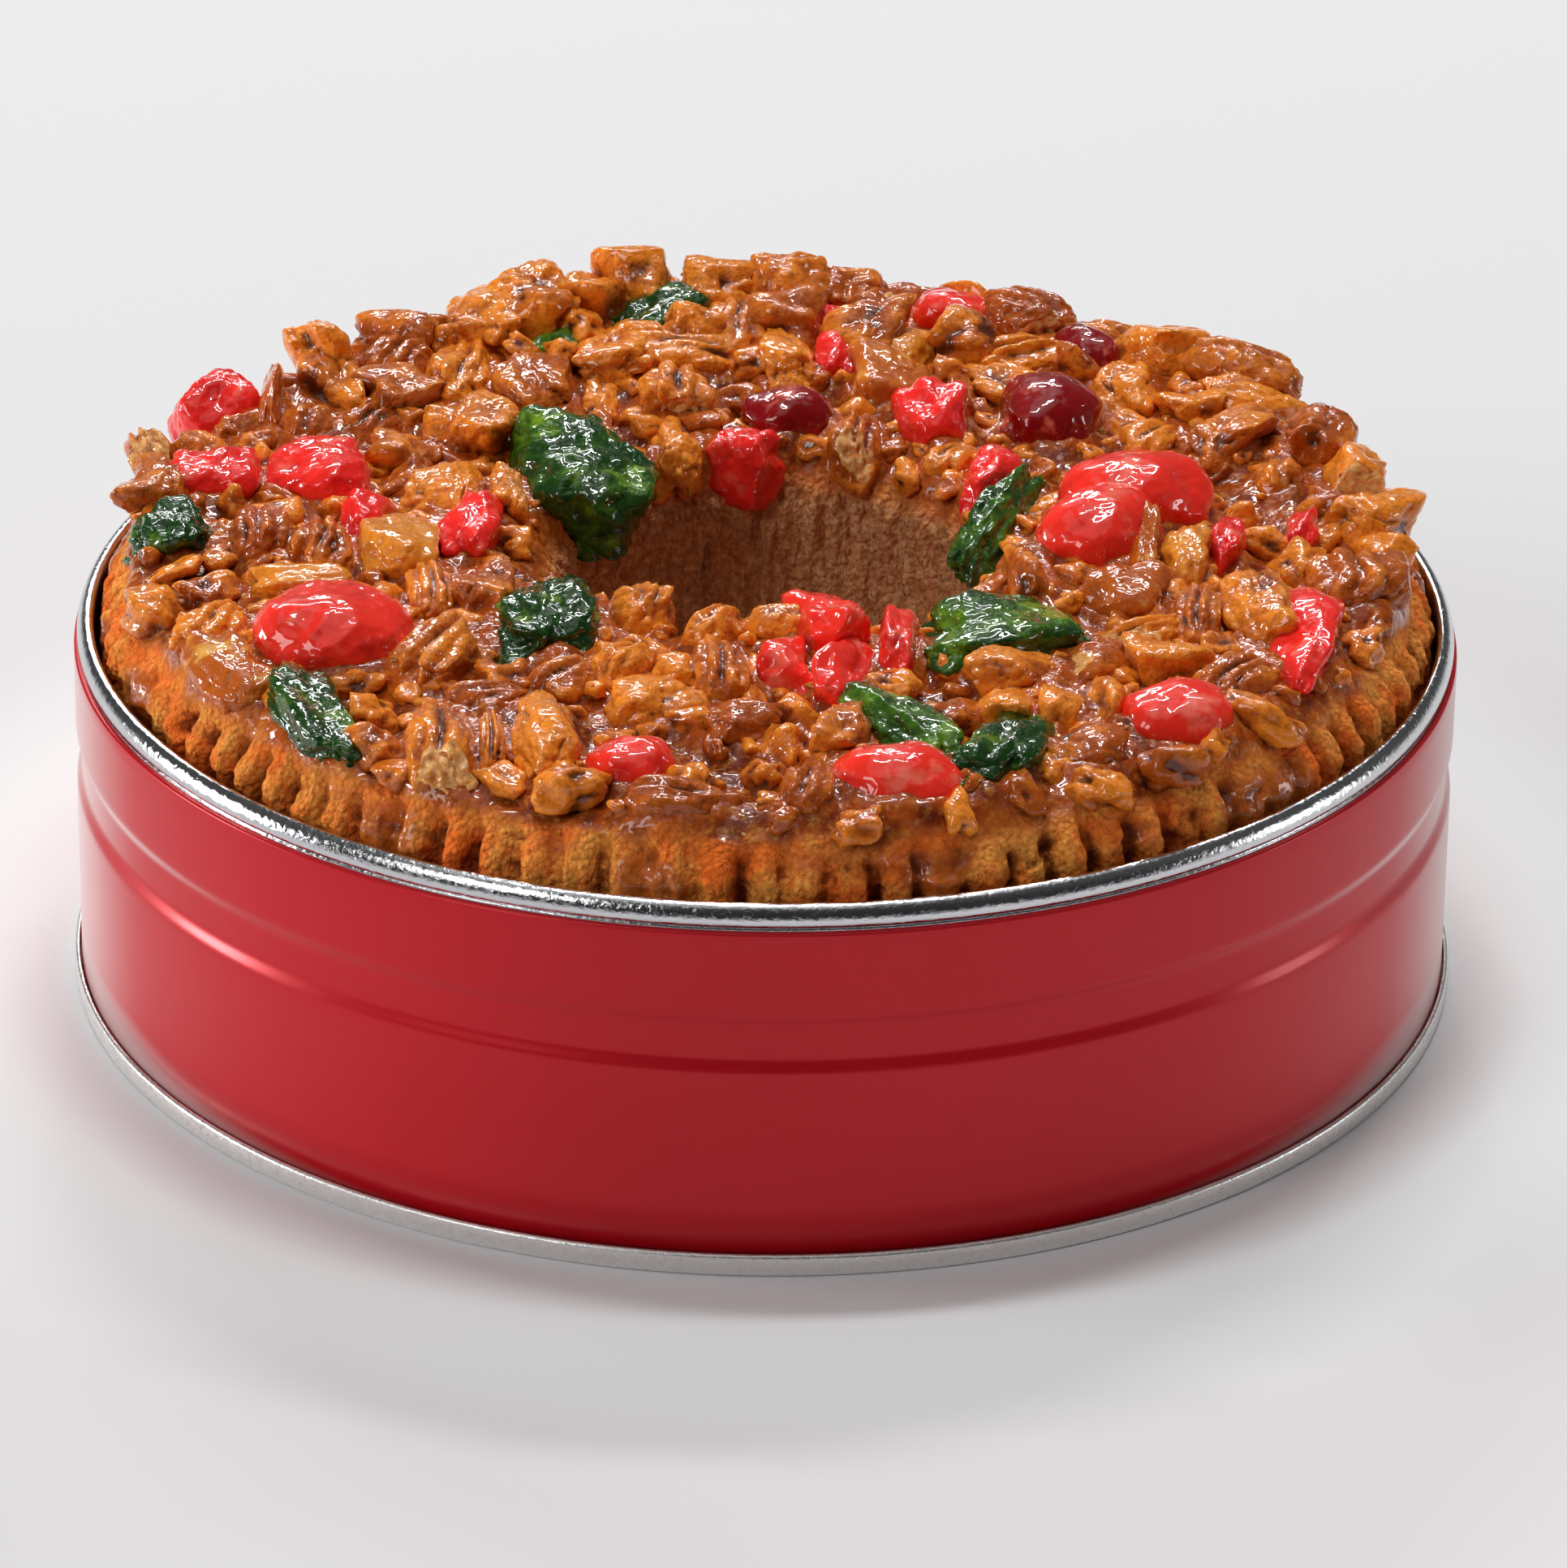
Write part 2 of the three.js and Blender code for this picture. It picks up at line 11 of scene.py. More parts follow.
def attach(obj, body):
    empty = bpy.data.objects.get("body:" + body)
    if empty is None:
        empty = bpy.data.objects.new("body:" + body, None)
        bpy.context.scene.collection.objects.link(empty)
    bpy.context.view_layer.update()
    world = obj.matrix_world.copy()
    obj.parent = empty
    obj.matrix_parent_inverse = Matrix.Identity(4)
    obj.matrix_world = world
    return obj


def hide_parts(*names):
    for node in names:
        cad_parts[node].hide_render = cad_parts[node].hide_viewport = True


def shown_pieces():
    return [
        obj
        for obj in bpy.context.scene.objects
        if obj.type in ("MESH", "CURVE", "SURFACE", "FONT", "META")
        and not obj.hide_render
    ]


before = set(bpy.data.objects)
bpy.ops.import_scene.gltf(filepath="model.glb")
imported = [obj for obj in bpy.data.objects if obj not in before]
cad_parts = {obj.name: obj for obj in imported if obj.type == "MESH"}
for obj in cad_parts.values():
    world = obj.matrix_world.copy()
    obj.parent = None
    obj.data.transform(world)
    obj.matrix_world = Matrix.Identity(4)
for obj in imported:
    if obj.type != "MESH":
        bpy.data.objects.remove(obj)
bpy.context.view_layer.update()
mm = 0.001
print("frame loaded:", len(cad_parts), "nodes")


# Shader maths: a socket that takes part in Python sums, and a finish that makes its own nodes

class Val:
    def __init__(self, sheet, socket):
        self.sheet = sheet
        self.socket = socket

    def calc(self, operation, first, second):
        return self.sheet.node("Math", {"operation": operation}, {0: first, 1: second})

    def __add__(self, other):
        return self.calc("ADD", self, other)

    def __sub__(self, other):
        return self.calc("SUBTRACT", self, other)

    def __rsub__(self, other):
        return self.calc("SUBTRACT", other, self)

    def __mul__(self, other):
        return self.calc("MULTIPLY", self, other)

    __radd__ = __add__
    __rmul__ = __mul__

    def within(self, low, high, start=0.0, end=1.0):  # smooth from start at low to end at high
        settings = {"interpolation_type": "SMOOTHSTEP"}
        sockets = {0: self, 1: low, 2: high, 3: start, 4: end}
        return self.sheet.node("MapRange", settings, sockets)


class Sheet:
    def __init__(self, owner):
        owner.use_nodes = True
        self.owner = owner
        self.tree = owner.node_tree
        self.tree.nodes.clear()

    def node(self, kind, settings, sockets, output=0):
        made = self.tree.nodes.new("ShaderNode" + kind)
        for name, value in settings.items():
            setattr(made, name, value)
        for key, value in sockets.items():
            if isinstance(value, Val):
                self.tree.links.new(value.socket, made.inputs[key])
            else:
                made.inputs[key].default_value = value
        return Val(self, made.outputs[output]) if made.outputs else None


colourSockets = {"first": 6, "second": 7, "result": 2}  # where a Mix node has its colours


class Finish(Sheet):
    def __init__(self, name):
        super().__init__(bpy.data.materials.new(name))
        self.place = self.node("TexCoord", {}, {}, "Object")

    def painted(self, name):  # a value that the mesh carries
        return self.node("Attribute", {"attribute_name": name}, {}, "Fac")

    def cloud(self, size, detail=2, roughness=0.5, distortion=0.0):  # its size is in millimetres
        sockets = {"Vector": self.place, "Scale": 1 / (size * mm), "Detail": detail}
        sockets.update({"Roughness": roughness, "Distortion": distortion})
        return self.node("TexNoise", {}, sockets, "Fac")

    def cells(self, size):
        sockets = {"Vector": self.place, "Scale": 1 / (size * mm)}
        return self.node("TexVoronoi", {}, sockets, "Distance")

    def along(self, axis):  # the place on one axis, in metres
        return self.node("SeparateXYZ", {}, {0: self.place}, axis)

    def mix(self, factor, first, second):
        sockets = {0: factor, colourSockets["first"]: first, colourSockets["second"]: second}
        return self.node("Mix", {"data_type": "RGBA"}, sockets, colourSockets["result"])

    def bump(self, height, depth, strength=1.0):  # its depth is in millimetres
        sockets = {"Strength": strength, "Distance": depth * mm, "Height": height}
        return self.node("Bump", {}, sockets, "Normal")

    def surface(self, sockets):
        shader = self.node("BsdfPrincipled", {}, sockets)
        self.node("OutputMaterial", {}, {"Surface": shader})
        return self.owner


def tone(red, green, blue):  # a screen colour from 0 to 255, as light
    def light(value):
        share = value / 255
        return share / 12.92 if share <= 0.04045 else ((share + 0.055) / 1.055) ** 2.4
    return (light(red), light(green), light(blue), 1.0)


# Finishes

lacquerLook = {
    "red": tone(207, 16, 30),
    "deepRed": tone(190, 13, 27),
    "edge": tone(230, 202, 200),  # painted reflection: how pale it gets where it is seen aslant, standing in for the bright room mirrored at a glancing angle
    "edgeFrom": 0.62, "edgeFull": 0.97, "edgeMost": 0.86,
    "roughness": 0.34,
    "uneven": 0.08,
    "mottleSize": 60,
    "grainSize": 0.7,
    "grainDepth": 0.02,
}


def lacquerFinish():
    look = lacquerLook
    finish = Finish("red lacquer")
    mottle = finish.cloud(look["mottleSize"], detail=3)
    grain = finish.cloud(look["grainSize"])
    aslant = finish.node("LayerWeight", {}, {"Blend": 0.5}, "Facing")
    # painted reflection: towards the outline the red is mixed with a pale pinkish grey
    edge = aslant.within(look["edgeFrom"], look["edgeFull"], 0, look["edgeMost"])
    red = finish.mix(mottle, look["deepRed"], look["red"])
    return finish.surface({
        "Base Color": finish.mix(edge, red, look["edge"]),
        "Metallic": 0.2,
        "Roughness": look["roughness"] + look["uneven"] * (mottle - 0.5),
        "Specular IOR Level": 0.24,
        "Coat Weight": 0.2,
        "Coat Roughness": 0.2,
        "Normal": finish.bump(grain, look["grainDepth"], 0.35),
    })


tinplateLook = {
    "bright": tone(225, 226, 228),
    "dull": tone(196, 197, 200),
    "smoothest": 0.06,
    "roughest": 0.16,
    "metal": 1.0,
}
seamLook = {
    "bright": tone(244, 243, 240),
    "dull": tone(226, 225, 222),
    "smoothest": 0.26,
    "roughest": 0.4,
    "metal": 0.8,
}
rolling = {"streakSize": 0.8, "waveSize": 2.6, "depth": 0.13}  # the marks that rolling leaves


def tinplateFinish(name, look):
    finish = Finish(name)
    streaks = finish.cloud(rolling["streakSize"], detail=4, roughness=0.65, distortion=0.4)
    waves = finish.cloud(rolling["waveSize"], roughness=0.6)
    return finish.surface({
        "Base Color": finish.mix(streaks, look["dull"], look["bright"]),
        "Metallic": look["metal"],
        "Roughness": streaks.within(0.3, 0.75, look["smoothest"], look["roughest"]),
        "Normal": finish.bump(streaks + waves, rolling["depth"], 0.7),
    })


crumbLook = {
    "gold": tone(255, 176, 78),
    "baked": tone(255, 124, 40),
    # painted shade in the crumb's pits and between its granules
    "pitShade": tone(216, 88, 28),
    "glazed": tone(174, 76, 22),
    "glazedDeep": tone(104, 34, 12),
    "pooled": tone(190, 86, 20),
    # painted light: the hole's crumb is paler, to make up for the shade inside the hole
    "hole": tone(244, 184, 132),
    "holeDeep": tone(196, 124, 74),
    # painted shade in the flute valleys, pits and crevices
    "valleyShade": tone(128, 54, 18),
    "patchSize": 9,
    "grainSize": 1.5,
    "poreSize": 0.9,
    "granuleSize": 1.0,
    "dimpleSize": 1.3,
    "depth": 0.75,
    "glazeWaveSize": 3,
    "glazeWaveDepth": 0.6,
}


def crumbFinish():
    look = crumbLook
    finish = Finish("baked crumb")
    glaze = finish.painted("glaze")
    paintedShading = finish.painted("paintedShading")
    patches = finish.cloud(look["patchSize"], detail=3, roughness=0.6)
    grain = finish.cloud(look["grainSize"], detail=4, roughness=0.7)
    pores = finish.cloud(look["poreSize"], detail=3, roughness=0.7).within(0.18, 0.56)
    granules = finish.cells(look["granuleSize"])
    dimples = finish.cloud(look["dimpleSize"], detail=1, roughness=0.4)
    glazeWaves = finish.cloud(look["glazeWaveSize"], detail=1, roughness=0.35, distortion=0.5)
    dry = finish.mix(patches.within(0.35, 0.65), look["baked"], look["gold"])
    # painted shade: the darker colour goes into the pits and between the granules, where the bump lies
    # low
    dry = finish.mix(granules.within(0.2, 0.7, 0, 0.3), dry, look["pitShade"])
    dry = finish.mix(pores, look["pitShade"], dry)
    wet = finish.mix(patches.within(0.4, 0.62), look["glazedDeep"], look["glazed"])
    wet = finish.mix(grain.within(0.45, 0.75, 0, 0.5), wet, look["gold"])
    wet = finish.mix(finish.painted("pooled"), wet, look["pooled"])
    inner = finish.mix(grain.within(0.35, 0.7), look["holeDeep"], look["hole"])
    colour = finish.mix(glaze, dry, wet)
    # painted light: the hole's wall takes the paler crumb
    colour = finish.mix(finish.painted("hole"), colour, inner)
    # painted shade: the valleys, pits and crevices of the crumb are darkened
    colour = finish.mix(paintedShading.within(0.05, 0.6, 0.9, 0.0), colour, look["valleyShade"])
    height = (1 - glaze) * (0.5 * grain + 0.3 * pores - 0.9 * granules) + 0.7 * glaze * dimples
    return finish.surface({
        "Base Color": colour,
        "Roughness": glaze.within(0.2, 0.9, 0.8, 0.2),
        "Specular IOR Level": 0.15,
        "Coat Weight": glaze.within(0.35, 0.9, 0, 0.7),
        "Coat Roughness": 0.03,
        "Coat Normal": finish.bump(glazeWaves, look["glazeWaveDepth"]),
        "Normal": finish.bump(height, look["depth"]),
    })


glazed = {  # what the nuts and the fruit share under their glaze
    "Roughness": 0.3,
    "Specular IOR Level": 0.08,
    "Subsurface Weight": 0.15,
    "Coat Roughness": 0.02,
}
nutLook = {
    "skin": tone(180, 84, 18),
    # a lighter orange of the nut's own, which also serves as painted light on raised parts
    "light": tone(252, 146, 40),
    "vein": tone(140, 58, 18),
    # painted shade in the nuts' crevices and where they sit in the crumb
    "dark": tone(66, 28, 10),
    "meat": tone(255, 204, 132),
    "patchSize": 4,
    "fibreSize": 0.9,
    "knobSize": 1.5,
    "depth": 0.7,
    "glazeWaveSize": 2,
    "glazeWaveDepth": 0.3,
}


def nutFinish():
    look = nutLook
    finish = Finish("glazed pecan")
    warmth = finish.painted("warmth")
    paintedShading = finish.painted("paintedShading")
    broken = finish.painted("broken")
    patches = finish.cloud(look["patchSize"], detail=3, roughness=0.6)
    fibre = finish.cloud(look["fibreSize"], detail=3, roughness=0.6, distortion=0.5)
    knobs = finish.cloud(look["knobSize"], detail=1, roughness=0.4)
    glazeWaves = finish.cloud(look["glazeWaveSize"], detail=1, roughness=0.4, distortion=0.7)
    # the skin's own warmth and patches, plus painted light on raised, open parts where the glaze would
    # glow
    warmthAndRidgeLight = (0.6 * warmth + 1.1 * patches + 0.7 * paintedShading - 0.75).within(0.1, 0.9)
    skin = finish.mix(warmthAndRidgeLight, look["skin"], look["light"])
    # painted shade: crevices and the bedded foot of each nut turn dark
    skin = finish.mix(paintedShading.within(0.0, 0.34, 0.85, 0.0), skin, look["dark"])
    skin = finish.mix(fibre.within(0.48, 0.72, 0, 0.5), skin, look["vein"])
    meat = finish.mix(fibre.within(0.4, 0.7), look["meat"], look["light"])
    return finish.surface({
        **glazed,
        "Base Color": finish.mix(broken.within(0.3, 0.7, 0, 0.75), skin, meat),
        "Subsurface Radius": (1.0, 0.4, 0.12),
        "Subsurface Scale": 0.002,
        "Coat Weight": 0.85,
        "Coat Normal": finish.bump(glazeWaves, look["glazeWaveDepth"]),
        "Normal": finish.bump(knobs + 0.35 * fibre, look["depth"]),
    })


fruitLooks = {
    "cherry": {
        "body": tone(255, 52, 36), "deep": tone(140, 3, 8), "pale": tone(255, 128, 104),
        "scatter": (1.0, 0.25, 0.15), "grain": 2.2, "depth": 0.2, "glazeWaveDepth": 0.3,
    },
    "red_candied": {
        "body": tone(255, 44, 36), "deep": tone(180, 6, 12), "pale": tone(255, 124, 104),
        "scatter": (1.0, 0.25, 0.15), "grain": 1.6, "depth": 0.35, "glazeWaveDepth": 0.35,
    },
    "green_candied": {
        "body": tone(84, 130, 18), "deep": tone(20, 62, 10), "pale": tone(126, 160, 30),
        "scatter": (0.3, 1.0, 0.2), "grain": 1.2, "depth": 0.6, "glazeWaveDepth": 0.5,
    },
    "amber_candied": {
        "body": tone(232, 140, 40), "deep": tone(190, 92, 24), "pale": tone(248, 188, 92),
        "scatter": (1.0, 0.6, 0.2), "grain": 1.5, "depth": 0.4, "glazeWaveDepth": 0.4,
    },
}
fruitPatchSize = 6
fruitGlazeWaveSize = 2.4


def fruitFinish(kind):
    look = fruitLooks[kind]
    finish = Finish(kind.replace("_", " ") + " fruit")
    warmth = finish.painted("warmth")
    paintedShading = finish.painted("paintedShading")
    patches = finish.cloud(fruitPatchSize, detail=3, roughness=0.6)
    grain = finish.cloud(look["grain"], detail=1, distortion=0.4)
    glazeWaves = finish.cloud(fruitGlazeWaveSize, detail=1, roughness=0.35, distortion=0.5)
    ripeness = (warmth + 1.8 * patches - 0.9).within(0.1, 0.9)
    colour = finish.mix(ripeness, look["deep"], look["body"])
    colour = finish.mix(patches.within(0.56, 0.72, 0, 0.7), colour, look["pale"])
    # painted shade: hollows and the bedded foot of each fruit turn to the deep colour
    colour = finish.mix(paintedShading.within(0.0, 0.4, 0.5, 0.0), colour, look["deep"])
    return finish.surface({
        **glazed,
        "Base Color": colour,
        "Subsurface Radius": look["scatter"],
        "Subsurface Scale": 0.003,
        "Coat Weight": 1.0,
        "Coat Normal": finish.bump(glazeWaves, look["glazeWaveDepth"]),
        "Normal": finish.bump(grain, look["depth"]),
    })


floorLook = {  # places in metres from the middle of the cake; the floor's colours are painted light and shade, set against the tin's shadow and the lamps
    "near": tone(238, 235, 237),
    "far": tone(228, 228, 229),
    "farFrom": -0.2,
    "farTo": 0.12,
    "left": tone(224, 223, 225),
    "leftFrom": -0.13,
    "leftTo": 0.04,
    "round": tone(236, 243, 243),  # painted light: a cooler tone close round the tin, against the red light that it throws back
    "roundStarts": (0.1, 0.12),
    "roundEnds": (0.12, 0.16),
}


def floorFinish():
    look = floorLook
    finish = Finish("pale floor")
    depth = finish.along("Y").within(look["farFrom"], look["farTo"])
    side = finish.along("X").within(look["leftFrom"], look["leftTo"])
    away = finish.node("VectorMath", {"operation": "LENGTH"}, {0: finish.place}, "Value")
    # painted light: a cooler ring close round the tin, against the red light that it throws back
    ring = away.within(*look["roundStarts"]) * away.within(*look["roundEnds"], 1, 0)
    # painted light and shade: paler in front against the tin's shadow, darker at the back and on the left
    # against the lamps there
    colour = finish.mix(depth, finish.mix(side, look["left"], look["near"]), look["far"])
    return finish.surface({
        "Base Color": finish.mix(ring, colour, look["round"]),
        "Specular IOR Level": 0.0,
        "Roughness": finish.cloud(300).within(0.3, 0.7, 0.75, 0.85),
    })


finishes = {
    "lacquer": lacquerFinish(),
    "tinplate": tinplateFinish("tinplate", tinplateLook),
    "seam": tinplateFinish("seamed tinplate", seamLook),
    "crumb": crumbFinish(),
    "nut": nutFinish(),
    **{kind: fruitFinish(kind) for kind in fruitLooks},
}
print("finishes made")


# Meshes

def makePiece(name, points, faces, looks, slot=None, nodes=(), shades=None, lookOf=None):
    mesh = bpy.data.meshes.new(name)
    mesh.from_pydata((points * mm).tolist(), [], faces.tolist())
    for look in looks:
        mesh.materials.append(look)
    if lookOf is not None:
        mesh.polygons.foreach_set("material_index", lookOf)
    for shade, values in (shades or {}).items():
        layer = mesh.attributes.new(shade, "FLOAT", "POINT")
        layer.data.foreach_set("value", np.asarray(values, np.float32))
    mesh.shade_smooth()
    mesh.update()
    piece = bpy.data.objects.new(name, mesh)
    bpy.context.scene.collection.objects.link(piece)
    if slot:
        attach(piece, "root")
        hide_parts(*nodes)
    return piece


def gridFaces(rows, columns):  # both close on themselves
    row, column = np.meshgrid(np.arange(rows), np.arange(columns), indexing="ij")
    a = row * columns + column
    b = row * columns + (column + 1) % columns
    c = ((row + 1) % rows) * columns + (column + 1) % columns
    d = ((row + 1) % rows) * columns + column
    return np.stack([a, b, c, d], -1).reshape(-1, 4)


def ripple(points, size, seed):  # smooth noise, about -0.6 to 0.6
    return np.array([noise.noise(p) for p in (points / size + 7.7 * seed).tolist()])


def smooth(values, low, high):
    share = np.clip((values - low) / (high - low), 0, 1)
    return share * share * (3 - 2 * share)


# The crumb's form

cake = {
    "bottom": 3.3,
    "top": 62.5,
    "radius": 96,
    "shoulderWidth": 10,
    "shoulderDrop": 7,
    "flutes": 96,
    "holeRadius": 30.5,
    "holeCentreX": 1,
    "holeEdgeWidth": 7,
    "holeEdgeDrop": 6,
    "holeSpread": 1.5,
}


def fluteWave(angle):
    sway = 0.25 * np.sin(13 * angle) + 0.2 * np.sin(29 * angle + 1)
    return 0.5 - 0.5 * np.cos(cake["flutes"] * angle + sway)


def edgeShares(x, y):  # how far a place is over the cake's shoulder and over the hole's edge
    fromAxis = np.hypot(x, y)
    fromHole = np.hypot(x - cake["holeCentreX"], y)
    over = (fromAxis - cake["radius"] + cake["shoulderWidth"]) / cake["shoulderWidth"]
    under = (cake["holeRadius"] + cake["holeEdgeWidth"] - fromHole) / cake["holeEdgeWidth"]
    steepest = 0.95
    return np.clip(over, 0, steepest), np.clip(under, 0, steepest)


def groundAt(x, y):
    over, under = edgeShares(x, y)
    drop = cake["shoulderDrop"] * (1 - np.sqrt(1 - over * over))
    return cake["top"] - drop - cake["holeEdgeDrop"] * (1 - np.sqrt(1 - under * under))


def facingAt(x, y):
    over, under = edgeShares(x, y)
    facing = Vector((0, 0, 1))
    out = Vector((x, y, 0)).normalized()
    if over > 0:
        rise = math.sqrt(1 - over * over) / cake["shoulderDrop"]
        facing = Vector((0, 0, rise)) + out * (over / cake["shoulderWidth"])
    if under > 0:
        rise = math.sqrt(1 - under * under) / cake["holeEdgeDrop"]
        facing = Vector((0, 0, rise)) - out * (under / cake["holeEdgeWidth"])
    return facing.normalized()


# Where the toppings lie: x, y, length, width, height, heading in degrees, and then, where needed,
# the height of the middle above the crumb, the pitch and the roll

rows = {
    "cherry": [
        [-59.5, -37, 24, 22.5, 16.5, 0, 2.5],
        [53.5, 11.5, 23, 19, 16, 52, 4],
        [48, 0.8, 20, 17, 15, 54, 3.5],
        [42, 44, 20, 16, 15, 90, 3],
        [48, 70, 14, 10, 10, 100, 2.5],
        [56.5, -59, 16, 15, 12, 20, 2],
        [-18, -76, 12, 11, 9, 0, 2],
        [18.5, -80, 18, 15, 12, 0, 2],
        [29, 83, 15, 13, 10, 0, 3],
        [3, 43, 14, 13, 11, 20, 3],
        [9.5, -35, 15, 9, 11, 115, 3.5],
        [11, -48, 19, 7, 10, 75, 2.5],
        [3, -45, 11, 8, 9, 80, 2],
        [18.5, -38, 14, 6.5, 10, 88, 3],
    ],
    "red_candied": [
        [-81, 46, 13, 12, 13, 10, 3],
        [-80.5, 20, 14, 10, 9, 80, 2],
        [-66, 18, 16, 15, 11, 90, 2.5],
        [-58, 3, 12, 7, 9, 80, 2.5],
        [-43, -1, 14, 8, 9, 85, 2.5],
        [24, 41, 15, 11, 13, 95, 2.5],
        [33, 22, 14, 8, 11, 80, 2.5],
        [-5, 34, 10, 10, 12, 0, 0.5],
        [66.5, -1, 14, 5.5, 9, 92, 2.5],
        [75, -33, 23, 11, 9, 88, 2],
        [77.5, 4, 9, 5, 7, 90, 2.5],
        [10, 65, 14, 7, 8, 90, 3],
        [9, 78, 9, 8, 8, 30, 2],
    ],
    "green_candied": [
        [-18, 79, 17, 13, 10, 45, 2.5],
        [-31.5, 67, 13, 6, 8, 45, 2],
        [-27.5, 21, 24, 19.5, 18, 80, 1],
        [-31, -31, 28, 16, 12, 97, 2],
        [-85.5, 1, 13, 13, 9, 0, 2],
        [-62, -62, 22, 9, 7, -70, 1.5],
        [19.5, -65, 30, 10, 9, -62, 2.5],
        [34.5, -70, 26, 9, 9, 70, 2],
        [33, -32, 25, 19, 9, 40, 2.5],
        [34.5, 9, 26, 7, 10, 65, 2.5],
    ],
    "amber_candied": [
        [18, 55, 16, 12.5, 11, 95, 2.5],
        [21.5, 69, 11, 9, 9, 60, 2.5],
        [18, 83, 14, 6.5, 8, 90, 2.5],
        [-53, -5, 19, 12, 9, 85, 2.5],
        [-74, 45, 16, 4, 12, 90, 3],
        [-67, -16, 14, 9, 6, 0, 2],
        [-74, -48, 18, 9, 8, -70, 1.5],
        [54, -5, 15, 5.5, 9, 90, 3, 15],
        [60.5, -9, 15, 6, 9, 85, 3],
        [50.5, -20, 13, 12, 10, 0, 2],
        [28.5, 52, 12, 4.5, 8, 85, 2.5],
    ],
    "pecan": [
        [69.5, 60, 20, 12, 11, 170, 5],
        [84, -14, 19, 15, 10, 90, 2.5],
        [69, -24, 23, 9, 9, 93, 3],
        [-44, -71, 25, 10, 9, 94, 2.5],
        [-30, -68, 24, 9, 9, 95, 3],
        [-44, 36, 20, 13, 11, 100, 3],
        [34.5, -46, 15, 11, 9, 15, 2.5],
        [-45, -43, 21, 11, 10, 65, 3],
        [-14, 50, 18, 12, 13, 90, 2.5],
    ],
}

# Pecans packed between the others, in the same columns
packedRows = [
    [72, 54, 17, 12, 9, 5, 2],
    [63, 50, 11, 9, 8, 30, 2],
    [69, 38, 20, 9, 9, 55, 2.5],
    [81, 36, 16, 11, 11, 80, 3.5],
    [75, 24, 11, 8, 8, 90, 2],
    [85, 24, 14, 9, 9, 100, 3.5],
    [88, 10, 15, 12, 10, 75, 3],
    [61, -26, 18, 7, 9, 85, 2.5],
    [53, -33, 17, 8, 8, 35, 2],
    [37, -13, 18, 8, 12, 95, 2],
    [46, -42, 14, 9, 8, 40, 2],
    [57, -41, 12, 9, 8, 20, 2],
    [66, -46, 16, 11, 9, 55, 1.5],
    [47, -56, 14, 6, 9, 90, 2],
    [41, -58, 12, 6, 9, 90, 2],
    [33, -58, 13, 8, 9, 80, 2],
    [45, -70, 12, 9, 8, 30, 1.5],
    [3, -34, 13, 8, 11, 10, 3],
    [-7, -35, 13, 8, 10, 60, 3],
    [3, -69, 10, 7, 8, 60, 2],
    [11, -68, 14, 7, 9, 80, 2.5],
    [6, -83, 13, 8, 8, 80, 2],
    [-6, -47, 20, 9, 9, 95, 3],
    [-2, -64, 15, 10, 9, 5, 2.5],
    [-19, -26.5, 17, 10, 11, 95, 3],
    [-40, -21, 18, 8, 9, 92, 2.5],
    [-47.5, -22, 20, 8, 9, 95, 2.5],
    [-20, -46, 14, 8, 9, 70, 2.5],
    [-15, -58, 14, 9, 8, 30, 2],
    [-28, -50, 12, 9, 8, 50, 2],
    [-37, -70, 17, 4, 8, 92, 2.5],
    [-38, -57, 12, 8, 8, 20, 2],
    [-12, -86, 14, 9, 8, 5, 1.5],
    [-73, -2, 15, 9, 9, 95, 2.5],
    [-64, -5, 15, 9, 9, 90, 2.5],
    [-77, -34, 17, 10, 8, 70, 2],
    [-88, 16, 15, 11, 9, 85, 2],
    [-88.5, 28, 13, 7, 11, 100, 4],
    [-66, 52, 20, 9, 10, 95, 3],
    [-66.5, 61.5, 14, 9, 12, 90, 5],
    [-56, 61, 14, 9, 10, 70, 3],
    [-57, 67, 13, 10, 11, 140, 3.5],
    [-56, 49, 13, 11, 10, 130, 2.5],
    [-46, 58, 20, 9, 10, 85, 2.5],
    [-68, 38, 12, 9, 9, 80, 2],
    [-59, 39, 12, 9, 9, 60, 2],
    [-54, 28, 11, 8, 8, 70, 2.5],
    [-52, 21, 12, 7, 8, 85, 2],
    [-46, 14, 16, 12, 9, 80, 2.5],
    [-37.5, 10, 15, 6, 9, 95, 3],
    [-25, 65, 17, 10, 10, 85, 2.5],
    [-13, 65, 15, 10, 10, 10, 3],
    [-35.5, 53, 20, 12, 11, 95, 3],
    [-14, 33, 15, 8, 10, 85, 2],
    [-36, 80, 19, 13, 14, 85, 5],
    [-27, 83, 12, 8, 12, 70, 4.5],
    [-45.5, 76, 15, 9, 11, 95, 4],
    [-53.5, 72.5, 11, 6, 10, 100, 3],
    [-20, 89, 13, 12, 14, 60, 5],
    [-8, 87, 14, 11, 13, 10, 4],
    [3, 88.5, 13, 12, 14, 30, 4.5],
    [-5, 76, 18, 9, 10, 85, 3],
    [13.5, 90, 13, 9, 11, 90, 3.5],
    [22, 91, 11, 7, 10, 20, 3.5],
    [38, 68, 15, 9, 9, 30, 2.5],
    [39, 80, 14, 11, 12, 140, 3.5],
    [31, 88, 11, 8, 11, 160, 3],
    [53, 57, 16, 10, 9, 85, 2],
    [57.5, 67.5, 14, 11, 11, 130, 3.5],
    [50, 77, 11, 7, 9, 150, 2.5],
    [57, 38, 14, 9, 8, 60, 2],
    [13, 35, 17, 8, 11, 85, 2],
    [3, 62, 16, 8, 10, 85, 3],
    [27, 30, 12, 8, 8, 60, 1.5],
]


